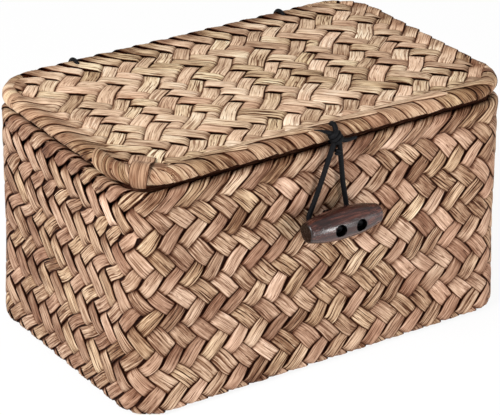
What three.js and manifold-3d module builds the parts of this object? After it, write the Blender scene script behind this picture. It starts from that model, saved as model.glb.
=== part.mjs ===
// Woven lidded box: a basket of flat leaf strips, a hinged lid, and a wooden toggle held by a cord loop.
// Millimetres, +Z up. The origin is the middle of the base, on the surface that the box stands on.
// +X runs to the right along the front, and +Y runs to the back, where the lid is tied on.
import * as THREE from 'three';
import { mergeVertices } from 'three/addons/utils/BufferGeometryUtils.js';
import Module from 'manifold-3d';

const wasm = await Module();
wasm.setup();

// Driving dimensions of the basket
const LENGTH = 250;
const WIDTH = 158;
const HEIGHT = 143; // from the floor to the top of the lid's rim
const CORNER_RADIUS = 28; // in plan, on the lid
const BASKET_CORNER_RADIUS = 20; // in plan, on the basket
const WALL = 4.6; // two layers of woven strips
const BASE = 4.6;
const BASE_ROUNDING = 4; // outside, where the base turns up into the walls
const INNER_ROUNDING = 3;
const WAIST_START = 60; // above this height the walls are drawn in by the depth of the fold
const STRIP = 1.4; // thickness of one layer of flattened strips
const CLEARANCE = 0.3; // between pieces that touch
const FOLD_DROP = 10; // how far the strips folded over the basket's hoop reach down

// Driving dimensions of the lid
const LID_RIM_DIAMETER = 9;
const LID_PANEL = 4;
const LID_PANEL_RISE = 1.2; // of the panel's middle over the rim's middle
const STRAP_WIDTH = 9; // the strip that ties down the rim at the front left corner
const STRAP_ANGLE = 225; // where it crosses that corner, counted from +X
const STRAP_LOW = -50; // how far round the rim it reaches, counted from the outermost line
const BUNDLE_RUN = 4; // how far the tucked strip ends reach along the left side past that corner
const BUNDLE_SINK = 0.3; // how much they lie under the rim's surface

// Driving dimensions of the cords and the toggle
const CORD = 3;
const HINGE_SPACING = 140;
const HINGE_KNOT = new THREE.Vector3(5, 4.4, 5);
const LASHING_TURNS = 1;
const LASHING_PITCH = 3.6;
const KNOT_X = -0.5;
const KNOT_SIZE = new THREE.Vector3(9, 5, 7);
const TAIL_LENGTH = 12;
const TOGGLE_LENGTH = 48;
const TOGGLE_DIAMETER = 17;
const TOGGLE_END_DIAMETER = 11.6;
const TOGGLE_EDGE = 1.4; // rounding of the two ends
const TOGGLE_BARREL = 2.5; // power of its taper: higher is fuller
const TOGGLE_HOLE = 7;
const TOGGLE_HOLE_SPACING = 13.4;
const TOGGLE_X = -3.2;
const TOGGLE_DROP = 45.7; // below the middle of the lid's rim
const TOGGLE_STANDOFF = 7; // from the wall to the back of the toggle
const TIE_CORD = 2;
const TIE_BEND = 2.5;
const TIE_NECK = 4; // both strands of the tie, side by side through the wall
const STOP_RECESS = 3.3;
const ANCHOR_KNOT = new THREE.Vector3(9, 4.4, 9); // inside the wall

// The loop's route, from the middle of its knot: down the left leg, behind the toggle, up the right leg
const LOOP_ROUTE = [
  [-1.6, 0, -1.5],
  [-1.9, 0.2, -4],
  [-4.8, 0.6, -13],
  [-9.8, 1.3, -28],
  [-14.2, 1.9, -40],
  [-15.8, 2, -44.4],
  [-14.9, 2, -48],
  [-11.6, 2, -50.6],
  [-7.2, 2, -51.4],
  [-2.8, 2, -51.5],
  [2, 2, -51.3],
  [6.4, 2, -50],
  [9, 2, -46.8],
  [8.8, 2, -42.6],
  [7.6, 1.8, -37],
  [5.6, 1.3, -28],
  [3.3, 0.6, -13],
  [1.9, 0.2, -4],
  [1.7, 0, -1.5],
];

// Fineness of round shapes
const CORNER_STEPS = 6;
const FOLD_STEPS = 6;
const ROLL_STEPS = 8;
const ROLL_FROM = -165; // the lid's rim roll, open where the panel enters it
const ROLL_TO = 123;
const HOOP_SIDES = 8;
const CORE_SIDES = 10;
const CORD_SIDES = 8;
const CORD_STEPS = 36;
const TAIL_STEPS = 6;
const WINDING_SIDES = 6;
const WINDING_STEPS = 24;
const TOGGLE_SIDES = 20;
const TOGGLE_RINGS = 10;
const HOLE_SIDES = 12;

// Places that follow from the sizes
const LID_RIM_RADIUS = LID_RIM_DIAMETER / 2;
const LID_CORE_RADIUS = LID_RIM_RADIUS - STRIP - CLEARANCE;
const LID_Z = HEIGHT - LID_RIM_RADIUS;
const PANEL_INSET = LID_RIM_RADIUS + LID_CORE_RADIUS + CLEARANCE;
const HINGE_Y = WIDTH / 2 - LID_RIM_RADIUS;
const BASKET_TOP = LID_Z - LID_RIM_RADIUS - CLEARANCE;
const WALL_INSET = STRIP + CLEARANCE;
const FOLD_RADIUS = WALL / 2 + WALL_INSET;
const FOLD_Z = BASKET_TOP - FOLD_RADIUS;
const FOLD_LOW = BASKET_TOP - FOLD_DROP;
const HOOP_RADIUS = WALL / 2;
const WALL_TOP = FOLD_Z - HOOP_RADIUS - CLEARANCE;
const WALL_Y = -WIDTH / 2 + WALL_INSET;
const WRAP_RADIUS = LID_RIM_RADIUS + CLEARANCE + CORD / 2; // of a cord wound round the lid's rim
const TOGGLE_RADIUS = TOGGLE_DIAMETER / 2;
const STOP_KNOT = TOGGLE_HOLE - 2 * CLEARANCE; // wedged in each hole of the toggle
const TOGGLE_Y = WALL_Y - TOGGLE_STANDOFF - TOGGLE_RADIUS;
const TOGGLE_Z = LID_Z - TOGGLE_DROP;
const KNOT_Y = -WIDTH / 2 - CLEARANCE - KNOT_SIZE.y / 2;

const degrees = THREE.MathUtils.degToRad;
const lerp = THREE.MathUtils.lerp;

const straw = new THREE.MeshStandardMaterial({ color: 0xb98f66, roughness: 0.75, metalness: 0 });
const paleStraw = new THREE.MeshStandardMaterial({ color: 0xcaa57a, roughness: 0.75, metalness: 0 });
const darkStraw = new THREE.MeshStandardMaterial({ color: 0x8a6544, roughness: 0.85, metalness: 0 });
const blackCord = new THREE.MeshStandardMaterial({ color: 0x15161a, roughness: 0.6, metalness: 0 });
const darkWood = new THREE.MeshStandardMaterial({ color: 0x40231a, roughness: 0.3, metalness: 0 });

// Stations round one plan corner: a point on the outline and its outward direction
function corner(signX, signY, fromDegrees, toDegrees, radius = CORNER_RADIUS) {
  const stations = [];
  const middle = new THREE.Vector2(LENGTH / 2 - radius, WIDTH / 2 - radius);
  middle.multiply(new THREE.Vector2(signX, signY));
  for (let i = 0; i <= CORNER_STEPS; i += 1) {
    const angle = degrees(lerp(fromDegrees, toDegrees, i / CORNER_STEPS));
    const outward = new THREE.Vector2(Math.cos(angle), Math.sin(angle));
    stations.push({ point: middle.clone().addScaledVector(outward, radius), outward });
  }
  return stations;
}

// A station on the straight left side, some way behind the front left corner
function leftSide(run) {
  const point = new THREE.Vector2(-LENGTH / 2, -WIDTH / 2 + CORNER_RADIUS + run);
  return { point, outward: new THREE.Vector2(-1, 0) };
}

// All corners but the front left one
function threeCorners(radius) {
  return [
    ...corner(1, -1, -90, 0, radius),
    ...corner(1, 1, 0, 90, radius),
    ...corner(-1, 1, 90, 180, radius),
  ];
}

function planOutline(radius) {
  return [...threeCorners(radius), ...corner(-1, -1, 180, 270, radius)];
}

const basketOutline = planOutline(BASKET_CORNER_RADIUS);
const lidOutline = planOutline(CORNER_RADIUS);

function placeOn(station, inset, z) {
  const flat = station.point.clone().addScaledVector(station.outward, -inset);
  return new THREE.Vector3(flat.x, flat.y, z);
}

// A closed surface through rings of points. An open run of rings gets two flat ends.
function skin(rings, endOutline, loop) {
  const count = endOutline.length;
  const points = rings.flat();
  const triangles = [];
  const spans = loop ? rings.length : rings.length - 1;
  for (let i = 0; i < spans; i += 1) {
    const here = i * count;
    const there = ((i + 1) % rings.length) * count;
    for (let j = 0; j < count; j += 1) {
      const next = (j + 1) % count;
      triangles.push([here + j, there + j, here + next]);
      triangles.push([there + j, there + next, here + next]);
    }
  }
  if (!loop) {
    const last = (rings.length - 1) * count;
    const turn = Math.sign(THREE.ShapeUtils.area(endOutline));
    for (const face of THREE.ShapeUtils.triangulateShape(endOutline, [])) {
      const same = Math.sign(THREE.ShapeUtils.area(face.map((k) => endOutline[k]))) === turn;
      const [a, b, c] = same ? face : [face[0], face[2], face[1]];
      triangles.push([a, b, c]);
      triangles.push([last + a, last + c, last + b]);
    }
  }
  let volume = 0;
  for (const [a, b, c] of triangles) {
    volume += points[a].dot(new THREE.Vector3().crossVectors(points[b], points[c]));
  }
  const facingOut = volume > 0 ? triangles : triangles.map(([a, b, c]) => [a, c, b]);
  const geometry = new THREE.BufferGeometry().setFromPoints(points);
  geometry.setIndex(facingOut.flat());
  return geometry;
}

// A profile of insets and heights, carried along stations of an outline
function sweep(profile, stations, loop) {
  const rings = stations.map((s) => profile.map((p) => placeOn(s, p.x, p.y)));
  return skin(rings, profile, loop);
}

// A solid through a plan outline at several insets and heights
function loft(levels, stations) {
  const rings = levels.map((level) => stations.map((s) => placeOn(s, level.x, level.y)));
  const outline = rings[0].map((p) => new THREE.Vector2(p.x, p.y));
  return skin(rings, outline, false);
}

// Points of an arc in a profile: 0 degrees is outwards, and 90 is up
function arc(inset, z, radius, fromDegrees, toDegrees, steps) {
  const points = [];
  for (let i = 0; i <= steps; i += 1) {
    const angle = degrees(lerp(fromDegrees, toDegrees, i / steps));
    points.push(new THREE.Vector2(inset - radius * Math.cos(angle), z + radius * Math.sin(angle)));
  }
  return points;
}

// A full circle in a profile
function round(inset, z, radius, fromDegrees, sides) {
  return arc(inset, z, radius, fromDegrees, fromDegrees + 360, sides).slice(0, sides);
}

// A round tube with flat ends along a curve
function tube(curve, diameter, sides, steps) {
  const points = [];
  for (let i = 0; i < sides; i += 1) {
    const angle = (2 * Math.PI * i) / sides;
    points.push(new THREE.Vector2(Math.cos(angle), Math.sin(angle)).multiplyScalar(diameter / 2));
  }
  const section = new THREE.Shape(points);
  return new THREE.ExtrudeGeometry(section, { steps, bevelEnabled: false, extrudePath: curve });
}

// A knot's outer shape
function lump(size, x, y, z) {
  const geometry = new THREE.SphereGeometry(0.5, 12, 8);
  geometry.scale(size.x, size.y, size.z);
  geometry.translate(x, y, z);
  return geometry;
}

// A pin along Y, used as a neck and to cut holes
function pinAlongY(diameter, fromY, toY, x, z) {
  const geometry = new THREE.CylinderGeometry(diameter / 2, diameter / 2, toY - fromY, HOLE_SIDES);
  geometry.translate(x, (fromY + toY) / 2, z);
  return geometry;
}

// The same surface with its shared vertices merged and no triangle of no area
function tidy(geometry) {
  const bare = geometry.clone();
  bare.deleteAttribute('normal');
  bare.deleteAttribute('uv');
  const merged = mergeVertices(bare);
  const index = [];
  for (let i = 0; i < merged.index.count; i += 3) {
    const face = [0, 1, 2].map((k) => merged.index.getX(i + k));
    if (new Set(face).size === 3) {
      index.push(...face);
    }
  }
  merged.setIndex(index);
  return merged;
}

function toSolid(geometry) {
  const clean = tidy(geometry);
  const vertProperties = new Float32Array(clean.attributes.position.array);
  const triVerts = new Uint32Array(clean.index.array);
  return new wasm.Manifold(new wasm.Mesh({ numProp: 3, vertProperties, triVerts }));
}

function toGeometry(solid) {
  const mesh = solid.getMesh();
  const geometry = new THREE.BufferGeometry();
  geometry.setAttribute('position', new THREE.BufferAttribute(mesh.vertProperties, 3));
  geometry.setIndex(new THREE.BufferAttribute(mesh.triVerts, 1));
  return geometry;
}

function join(...geometries) {
  return toGeometry(geometries.map(toSolid).reduce((all, one) => all.add(one)));
}

function cut(geometry, ...cutters) {
  return toGeometry(cutters.map(toSolid).reduce((left, one) => left.subtract(one), toSolid(geometry)));
}

function addPiece(group, name, geometry, material) {
  const clean = tidy(geometry);
  clean.computeVertexNormals();
  const mesh = new THREE.Mesh(clean, material);
  mesh.name = name;
  group.add(mesh);
}

const box = new THREE.Group();
const basket = new THREE.Group();
const lid = new THREE.Group();
const toggleGroup = new THREE.Group();
const loopGroup = new THREE.Group();
lid.position.set(0, 0, LID_Z);
toggleGroup.position.set(TOGGLE_X, TOGGLE_Y, TOGGLE_Z);
loopGroup.position.set(KNOT_X, KNOT_Y, LID_Z);
box.add(basket, lid, toggleGroup, loopGroup);

// Hinge ties: each is a cord through the rear wall and round the lid's rim, knotted outside.
// The top of its loop has the same middle as the rim, so the rim turns inside it.
const HINGE_KNOT_Z = (LID_Z + FOLD_LOW) / 2;
const HINGE_KNOT_Y = HINGE_Y + WRAP_RADIUS - CORD / 2 + HINGE_KNOT.y / 2;

function hingeTieCurve(x) {
  const path = new THREE.Path();
  const outerY = HINGE_Y + WRAP_RADIUS;
  path.moveTo(outerY, HINGE_KNOT_Z + CORD / 4);
  path.lineTo(outerY, LID_Z);
  path.absarc(HINGE_Y, LID_Z, WRAP_RADIUS, 0, Math.PI);
  path.lineTo(HINGE_Y - WRAP_RADIUS, FOLD_LOW);
  path.absarc(HINGE_Y, FOLD_LOW, WRAP_RADIUS, Math.PI, 2 * Math.PI);
  path.lineTo(outerY, HINGE_KNOT_Z - CORD / 4);
  const points = path.getSpacedPoints(CORD_STEPS).map((p) => new THREE.Vector3(x, p.x, p.y));
  return new THREE.CatmullRomCurve3(points);
}

const hingeTies = [
  { name: 'hinge_tie_left', x: -HINGE_SPACING / 2 },
  { name: 'hinge_tie_right', x: HINGE_SPACING / 2 },
];
for (const tie of hingeTies) {
  const cord = tube(hingeTieCurve(tie.x), CORD, CORD_SIDES, CORD_STEPS);
  const knot = lump(HINGE_KNOT, tie.x, HINGE_KNOT_Y, HINGE_KNOT_Z);
  addPiece(basket, tie.name, join(cord, knot), blackCord);
}

// Basket shell: walls and base in one weave, with holes for the ties
function wallInset(z) {
  return WALL_INSET * THREE.MathUtils.smoothstep(z, BASE_ROUNDING, WAIST_START);
}

const wallHeights = [1, 2, 3].map((k) => lerp(BASE_ROUNDING, WAIST_START, k / 3));
const outerLevels = [
  ...arc(BASE_ROUNDING, BASE_ROUNDING, BASE_ROUNDING, -90, 0, 3),
  ...wallHeights.map((z) => new THREE.Vector2(wallInset(z), z)),
  new THREE.Vector2(WALL_INSET, WALL_TOP),
];
const innerLevels = [
  ...arc(WALL + INNER_ROUNDING, BASE + INNER_ROUNDING, INNER_ROUNDING, -90, 0, 2),
  ...wallHeights.map((z) => new THREE.Vector2(WALL + wallInset(z), z)),
  new THREE.Vector2(WALL + WALL_INSET, WALL_TOP + WALL),
];
const outside = loft(outerLevels, basketOutline);
const inside = loft(innerLevels, basketOutline);
const tieHoles = hingeTies.map((tie) => {
  return tube(hingeTieCurve(tie.x), CORD + 2 * CLEARANCE, CORD_SIDES, CORD_STEPS);
});
const neckHole = pinAlongY(TIE_NECK + 2 * CLEARANCE, WALL_Y - WALL, WALL_Y + 2 * WALL, TOGGLE_X, TOGGLE_Z);
addPiece(basket, 'basket_shell', cut(outside, inside, ...tieHoles, neckHole), straw);

// Basket rim: a hoop on the wall's top edge, under the strips that are folded over it
const hoop = round(FOLD_RADIUS, FOLD_Z, HOOP_RADIUS, 0, HOOP_SIDES);
addPiece(basket, 'basket_rim_hoop', sweep(hoop, basketOutline, true), darkStraw);

const fold = [
  new THREE.Vector2(0, FOLD_LOW),
  ...arc(FOLD_RADIUS, FOLD_Z, FOLD_RADIUS, 0, 180, FOLD_STEPS),
  new THREE.Vector2(2 * FOLD_RADIUS, FOLD_LOW),
  new THREE.Vector2(2 * FOLD_RADIUS - STRIP, FOLD_LOW),
  ...arc(FOLD_RADIUS, FOLD_Z, FOLD_RADIUS - STRIP, 180, 0, FOLD_STEPS),
  new THREE.Vector2(STRIP, FOLD_LOW),
];
addPiece(basket, 'basket_rim_fold', sweep(fold, basketOutline, true), straw);

// Lashing of the closure cord: a winding round the lid's front rim, its knot and two tails.
// Its underside bites into the roll, so that the lid still lies flat on the basket.
const LASHING_LOW = -LID_RIM_RADIUS + CORD / 2;
const LASHING_Z = (WRAP_RADIUS + LASHING_LOW) / 2;
const LASHING_HALF_HEIGHT = (WRAP_RADIUS - LASHING_LOW) / 2;

const windingPoints = [];
for (let i = 0; i <= LASHING_TURNS * WINDING_STEPS; i += 1) {
  const turn = i / WINDING_STEPS;
  const angle = 2 * Math.PI * turn;
  const x = KNOT_X + LASHING_PITCH * (turn - LASHING_TURNS / 2);
  const y = -WIDTH / 2 + LID_RIM_RADIUS - WRAP_RADIUS * Math.cos(angle);
  windingPoints.push(new THREE.Vector3(x, y, LASHING_Z + LASHING_HALF_HEIGHT * Math.sin(angle)));
}
let leastGap = Infinity;
windingPoints.forEach((p, i) => {
  for (let j = i + WINDING_STEPS / 2; j < windingPoints.length; j += 1) {
    leastGap = Math.min(leastGap, p.distanceTo(windingPoints[j]) - CORD);
  }
});
console.log(`loop_lashing: least gap to itself ${leastGap.toFixed(2)} mm`);

function tail(...offsets) {
  const points = offsets.map(([x, y, z]) => new THREE.Vector3(KNOT_X + x, KNOT_Y + y, z));
  return tube(new THREE.CatmullRomCurve3(points), CORD, CORD_SIDES, TAIL_STEPS);
}

const winding = new THREE.CatmullRomCurve3(windingPoints);
const lashing = join(
  lump(KNOT_SIZE, KNOT_X, KNOT_Y, 0),
  tube(winding, CORD, WINDING_SIDES, LASHING_TURNS * WINDING_STEPS),
  tail([0, 0, 0], [-0.55 * TAIL_LENGTH, 1, 3.4], [-TAIL_LENGTH, 3, 4.6]),
  tail(
    [0, 0, 0],
    [0.4 * TAIL_LENGTH, 0.3, -1],
    [0.75 * TAIL_LENGTH, 0.6, -2.4],
    [1.15 * TAIL_LENGTH, 0.9, -3.2],
  ),
);
addPiece(lid, 'loop_lashing', lashing, blackCord);

function lashingGroove() {
  const halfCord = CORD / 2 + CLEARANCE;
  const shape = new THREE.Shape();
  const hole = new THREE.Path();
  const middleY = -WIDTH / 2 + LID_RIM_RADIUS;
  const outer = [WRAP_RADIUS + halfCord, LASHING_HALF_HEIGHT + halfCord];
  const inner = [WRAP_RADIUS - halfCord, LASHING_HALF_HEIGHT - halfCord];
  shape.absellipse(middleY, LASHING_Z, ...outer, 0, 2 * Math.PI);
  hole.absellipse(middleY, LASHING_Z, ...inner, 0, 2 * Math.PI);
  shape.holes.push(hole);
  const depth = LASHING_TURNS * LASHING_PITCH + 2 * halfCord;
  const geometry = new THREE.ExtrudeGeometry(shape, { depth, bevelEnabled: false });
  geometry.rotateX(Math.PI / 2);
  geometry.rotateZ(Math.PI / 2);
  geometry.translate(KNOT_X - depth / 2, 0, 0);
  return geometry;
}

// Lid panel: one woven sheet, with a slot at each hinge tie
function hingeSlot(x) {
  const innerY = HINGE_Y - WRAP_RADIUS - CORD / 2 - 2 * CLEARANCE;
  const geometry = new THREE.BoxGeometry(CORD + 2 * CLEARANCE, HINGE_Y - innerY, 3 * LID_PANEL);
  geometry.translate(x, (HINGE_Y + innerY) / 2, LID_PANEL_RISE);
  return geometry;
}

const panelLevels = [-1, 1].map((side) => {
  return new THREE.Vector2(PANEL_INSET, LID_PANEL_RISE + (side * LID_PANEL) / 2);
});
const panel = loft(panelLevels, lidOutline);
const slots = hingeTies.map((tie) => hingeSlot(tie.x));
addPiece(lid, 'lid_panel', cut(panel, ...slots, lashingGroove()), paleStraw);

// Lid rim: a core, the strips rolled round it, and the tucked ends and strap at the front left corner
const core = round(LID_RIM_RADIUS, 0, LID_CORE_RADIUS, ROLL_FROM, CORE_SIDES);
addPiece(lid, 'lid_rim_core', cut(sweep(core, lidOutline, true), lashingGroove()), darkStraw);

function roll(innerRadius, outerRadius, fromDegrees) {
  return [
    ...arc(LID_RIM_RADIUS, 0, outerRadius, fromDegrees, ROLL_TO, ROLL_STEPS),
    ...arc(LID_RIM_RADIUS, 0, innerRadius, ROLL_TO, fromDegrees, ROLL_STEPS),
  ];
}

const endGap = THREE.MathUtils.radToDeg(CLEARANCE / CORNER_RADIUS);
const rollInner = LID_CORE_RADIUS + CLEARANCE;
const wrapStations = [
  ...corner(-1, -1, STRAP_ANGLE + endGap, 270),
  ...threeCorners(CORNER_RADIUS),
  leftSide(BUNDLE_RUN + CLEARANCE),
];
const wrap = sweep(roll(rollInner, LID_RIM_RADIUS, ROLL_FROM), wrapStations, false);
addPiece(lid, 'lid_rim_wrap', cut(wrap, lashingGroove()), paleStraw);

const bundleStations = [leftSide(BUNDLE_RUN), ...corner(-1, -1, 180, STRAP_ANGLE - endGap)];
const bundle = sweep(roll(rollInner, LID_RIM_RADIUS - BUNDLE_SINK, ROLL_FROM), bundleStations, false);
addPiece(lid, 'lid_corner_bundle', bundle, darkStraw);

const halfStrap = THREE.MathUtils.radToDeg(STRAP_WIDTH / 2 / CORNER_RADIUS);
const strapInner = LID_RIM_RADIUS + CLEARANCE;
const strapStations = corner(-1, -1, STRAP_ANGLE - halfStrap, STRAP_ANGLE + halfStrap);
const strap = sweep(roll(strapInner, strapInner + STRIP, STRAP_LOW), strapStations, false);
addPiece(lid, 'lid_corner_strap', strap, straw);

// Toggle: a wooden barrel along X with two holes through it
function togglePoints() {
  const half = TOGGLE_LENGTH / 2;
  const endRadius = TOGGLE_END_DIAMETER / 2;
  const bend = half - TOGGLE_EDGE;
  const side = [new THREE.Vector2(0, half), new THREE.Vector2(endRadius - TOGGLE_EDGE, half)];
  side.push(new THREE.Vector2(endRadius - (1 - Math.SQRT1_2) * TOGGLE_EDGE, bend + Math.SQRT1_2 * TOGGLE_EDGE));
  const barrel = [];
  for (let i = 0; i <= TOGGLE_RINGS; i += 1) {
    const along = lerp(-1, 1, i / TOGGLE_RINGS);
    const fullness = 1 - Math.abs(along) ** TOGGLE_BARREL;
    barrel.push(new THREE.Vector2(lerp(endRadius, TOGGLE_RADIUS, fullness), bend * along));
  }
  const low = side.map((p) => new THREE.Vector2(p.x, -p.y));
  return [...low, ...barrel, ...side.reverse()];
}

const toggleBody = new THREE.LatheGeometry(togglePoints(), TOGGLE_SIDES);
toggleBody.rotateZ(-Math.PI / 2);
const toggleHoles = [-1, 1].map((side) => {
  return pinAlongY(TOGGLE_HOLE, -TOGGLE_DIAMETER, TOGGLE_DIAMETER, (side * TOGGLE_HOLE_SPACING) / 2, 0);
});
addPiece(toggleGroup, 'toggle', cut(toggleBody, ...toggleHoles), darkWood);

// Toggle tie: out of both holes to the back, together through the wall, and knotted at all three ends
const STOP_Y = -TOGGLE_RADIUS + STOP_RECESS + STOP_KNOT / 2;
const STRAND_Y = TOGGLE_RADIUS + CLEARANCE + TIE_CORD / 2;
const ANCHOR_Y = TOGGLE_RADIUS + TOGGLE_STANDOFF + WALL + CLEARANCE + ANCHOR_KNOT.y / 2;
const holeX = TOGGLE_HOLE_SPACING / 2;

const strands = new THREE.Path();
strands.moveTo(-holeX, STOP_Y);
strands.lineTo(-holeX, STRAND_Y - TIE_BEND);
strands.quadraticCurveTo(-holeX, STRAND_Y, -holeX + TIE_BEND, STRAND_Y);
strands.lineTo(holeX - TIE_BEND, STRAND_Y);
strands.quadraticCurveTo(holeX, STRAND_Y, holeX, STRAND_Y - TIE_BEND);
strands.lineTo(holeX, STOP_Y);
const strandPoints = strands.getSpacedPoints(CORD_STEPS).map((p) => new THREE.Vector3(p.x, p.y, 0));
const stopSize = new THREE.Vector3(STOP_KNOT, STOP_KNOT, STOP_KNOT);
const toggleTie = join(
  tube(new THREE.CatmullRomCurve3(strandPoints), TIE_CORD, CORD_SIDES, CORD_STEPS),
  pinAlongY(TIE_NECK, STRAND_Y, ANCHOR_Y, 0, 0),
  lump(ANCHOR_KNOT, 0, ANCHOR_Y, 0),
  lump(stopSize, -holeX, STOP_Y, 0),
  lump(stopSize, holeX, STOP_Y, 0),
);
addPiece(toggleGroup, 'toggle_tie', toggleTie, blackCord);

// Closure loop: hangs from the knot on the lid and hooks behind the toggle
const loopCurve = new THREE.CatmullRomCurve3(LOOP_ROUTE.map((p) => new THREE.Vector3(...p)));
const knotRoom = KNOT_SIZE.clone().addScalar(2 * CLEARANCE);
const loop = cut(tube(loopCurve, CORD, CORD_SIDES, CORD_STEPS), lump(knotRoom, 0, 0, 0));
addPiece(loopGroup, 'closure_loop', loop, blackCord);

export default box;
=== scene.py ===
import math

import bmesh
import bpy
import numpy as np
from mathutils import Matrix, Vector


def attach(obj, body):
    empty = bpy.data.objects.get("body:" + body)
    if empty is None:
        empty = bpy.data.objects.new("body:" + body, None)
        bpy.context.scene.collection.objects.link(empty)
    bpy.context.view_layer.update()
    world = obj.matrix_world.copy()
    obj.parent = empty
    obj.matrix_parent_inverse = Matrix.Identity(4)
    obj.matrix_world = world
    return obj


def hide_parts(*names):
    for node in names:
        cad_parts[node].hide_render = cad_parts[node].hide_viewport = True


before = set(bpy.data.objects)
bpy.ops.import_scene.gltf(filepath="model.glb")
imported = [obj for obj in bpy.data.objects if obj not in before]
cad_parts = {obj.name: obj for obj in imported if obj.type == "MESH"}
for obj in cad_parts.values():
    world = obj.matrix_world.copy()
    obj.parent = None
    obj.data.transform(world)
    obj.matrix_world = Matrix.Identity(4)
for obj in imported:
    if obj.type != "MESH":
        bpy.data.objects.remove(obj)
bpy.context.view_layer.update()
scene = bpy.context.scene
scene.view_settings.view_transform = "Standard"

MM = 0.001
SEED = 7

# Box, as in the frame
LENGTH = 250.0
WIDTH = 158.0
CORNER = 28.0
BASKET_CORNER = 20.0
BASE_ROUNDING = 4.0
WAIST = 1.7
WAIST_START = 60.0
FOLD_INSET = 5.0
FOLD_Z = 127.3
FOLD_RADIUS = 2.6
LID_Z = 138.5
RIM_RADIUS = 4.5
PANEL_Z = 140.8

# Strips
THICK = 1.0
CROWN = 0.05
RIDGE = 0.06
SWING = 0.9
TILT = 0.14
TONE_SPREAD = 0.06
GRAIN_SPREAD = 1000
RING_STEP = 2.1
WEAVE_SHARPNESS = 4.2
FLAT_SHARPNESS = 2.6

# Painted shade across a strip, darkest at its edges where the gaps between strips lie, by the place from its
# middle, 0, to its edge, 1
EDGE_PLACES = [0.86, 0.94, 1.0]
EDGE_SHADES = [1.0, 0.22, 0.0]
# Painted highlight along each strip, a little inside its edges
EDGE_HIGHLIGHT = 0.07
EDGE_HIGHLIGHT_PLACE = 0.7
EDGE_HIGHLIGHT_WIDTH = 0.14
# How strongly the lid's strips take the painted edge shade
LID_EDGE_DARK = 0.95

# Painted shade by how far a strip lies on top, from -1 to 1: darker where it dips under another strip and
# where it is hidden
DIP_SHADE = 0.12
DIP_RELIEF = (0.2, 1.0)
HIDDEN_RELIEF = (-0.25, 0.3)

# How a strip varies along its length: the size of the change and the distance it takes
SIDE_CHANGE = (0.3, 26)
WIDTH_CHANGE = (0.04, 22)
PLEAT_CHANGE = (0.5, 14)
TILT_CHANGE = (0.12, 15)
TONE_CHANGE = (0.11, 15)
HUE_CHANGE = (0.2, 20)

# Wall weave
WALL_STRIPS = 59
WALL_DEPTH = 1.65
WALL_RISE = 11.67
WALL_PHASE = 0.0535
ROW_ZERO = 6.05
WALL_WIDTHS = (0.95, 1.04)
WALL_TONE = 0.468
WALL_RING_SHARE = 0.66
WIDE_COVER = 1.01
NARROW_COVER = 0.93
WIDE_SWAY = 0.8
NARROW_SWAY = 0.95
WIDE_MIDDLE = 1.25
NARROW_MIDDLE = 0.25
LEFT_SWAY = -0.3
LEFT_SLIT = 0.08
LEFT_OUTSIDE = 15
LEFT_INSIDE = 5
LEFT_TEETH_INSIDE = 4
FOLD_SLIT = 0.07
# Painted shade on the fold at the top of the wall, under the lid's edge
FOLD_SHADE = 0.05
FOLD_SHINGLE = 0.3
UNDER_FOLD_HEIGHT = -0.4
# Relief of the strips under the fold, which sets painted shade on them
UNDER_FOLD_RELIEF = -0.4
POINT = 0.12
TEETH = 0.7
TEETH_TOP = 122
TEETH_TAPER = 15

# Heights up the wall between which something fades in or out, and where some strips end on the left
LOOSE_START = (2, 14)
LOOSE_END = (98, 112)
SLIT_START = (96, 106)
TEETH_START = (99, 106)
SWAY_END = (106, 116)
POINT_END = (108, 114)
WEAVE_END = (112, 120)
FOLD_TURN = (114, 122)
LEFT_STRIPS_END = 116.5

# Inset and height of points on the wall: tucked in above the base, at the top, and inside the fold
FOLD_START = 117
TOP_INSET = 3.6
WALL_SAMPLE = 3
WALL_PATH_STEP = 0.6
WALL_TUCK = [(17, 4.3), (14.5, 3.8), (12, 2.8), (10, 2.1), (8, WALL_DEPTH)]
FOLD_TUCK = [(7.3, 125.5), (7.0, 121), (6.8, 116), (6.7, 112)]
PLAIN_TOP = [(TOP_INSET, FOLD_START), (3.9, 121), (4.4, 126.5)]

# Slow bends that keep the wall's rows from being quite even: waves round the box, rise of one wave, phase
WALL_BENDS = [(7, 55.0, 0.3), (11, -41.0, 2.1), (16, 33.0, 4.0)]
WALL_BEND = 0.5
WALL_BEND_SHIFT = 1.7

# The same for the lid: wavelengths along x and y, phase
LID_BENDS = [(47.0, 61.0, 0.0), (-83.0, 38.0, 1.1)]
LID_BEND = 0.6
LID_BEND_SHIFT = 2.3

# First serial numbers, which give each strip its own part of the noise
SERIALS = {"lid": 200, "base": 300, "border": 400, "strap": 500, "under": 520, "bundle": 640}

# Flat weaves
FLAT_STRIPS = 18
CROSSING_REACH = 44
LINE_REACH = 260
LINE_STEP = 0.5

# Lid weave
LID_STEP = 12.3
LID_X = -2.45
LID_Y = 0.4
LID_WIDE = 4.42
LID_WIDTHS = (0.97, 1.02)
LID_TONE = 0.56
LID_SLASH_RISE = 0.9
LID_BACK_RISE = 1.4
LID_BACK_THICK = 1.15
LID_LOOSE = (11, 22)
LID_SHORTEST = 12
ROLL_RADIUS = 3.8
ROLL_TURN = 240
RIM_SLOPE = 7.0
RIM_FADE_INSET = 12
RIM_FADE = 6.5
# A valley along the lid's left end, which also carries painted shade
SEAM_INSET = 10.5
SEAM_WIDTH = 1.5
SEAM_REACH = 20
# Painted shade on the ends that wrap round the rim's roll, which face sideways and down
WRAP_SHADE = 0.28
WRAP_SHINGLE = 0.4
WRAP_HEIGHT = 0.1
LEAST_OUTWARD = 0.2
TURN_RATE = 0.25
END_STEP_SHARE = 0.7
END_MOST_POINTS = 40
TUCK_REACH = 7.5
TUCK_COVER = 0.92
TUCK_HEIGHT = -1.15
# Relief of the ends tucked under the wraps, which sets painted shade on them
TUCK_RELIEF = -0.6

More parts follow.
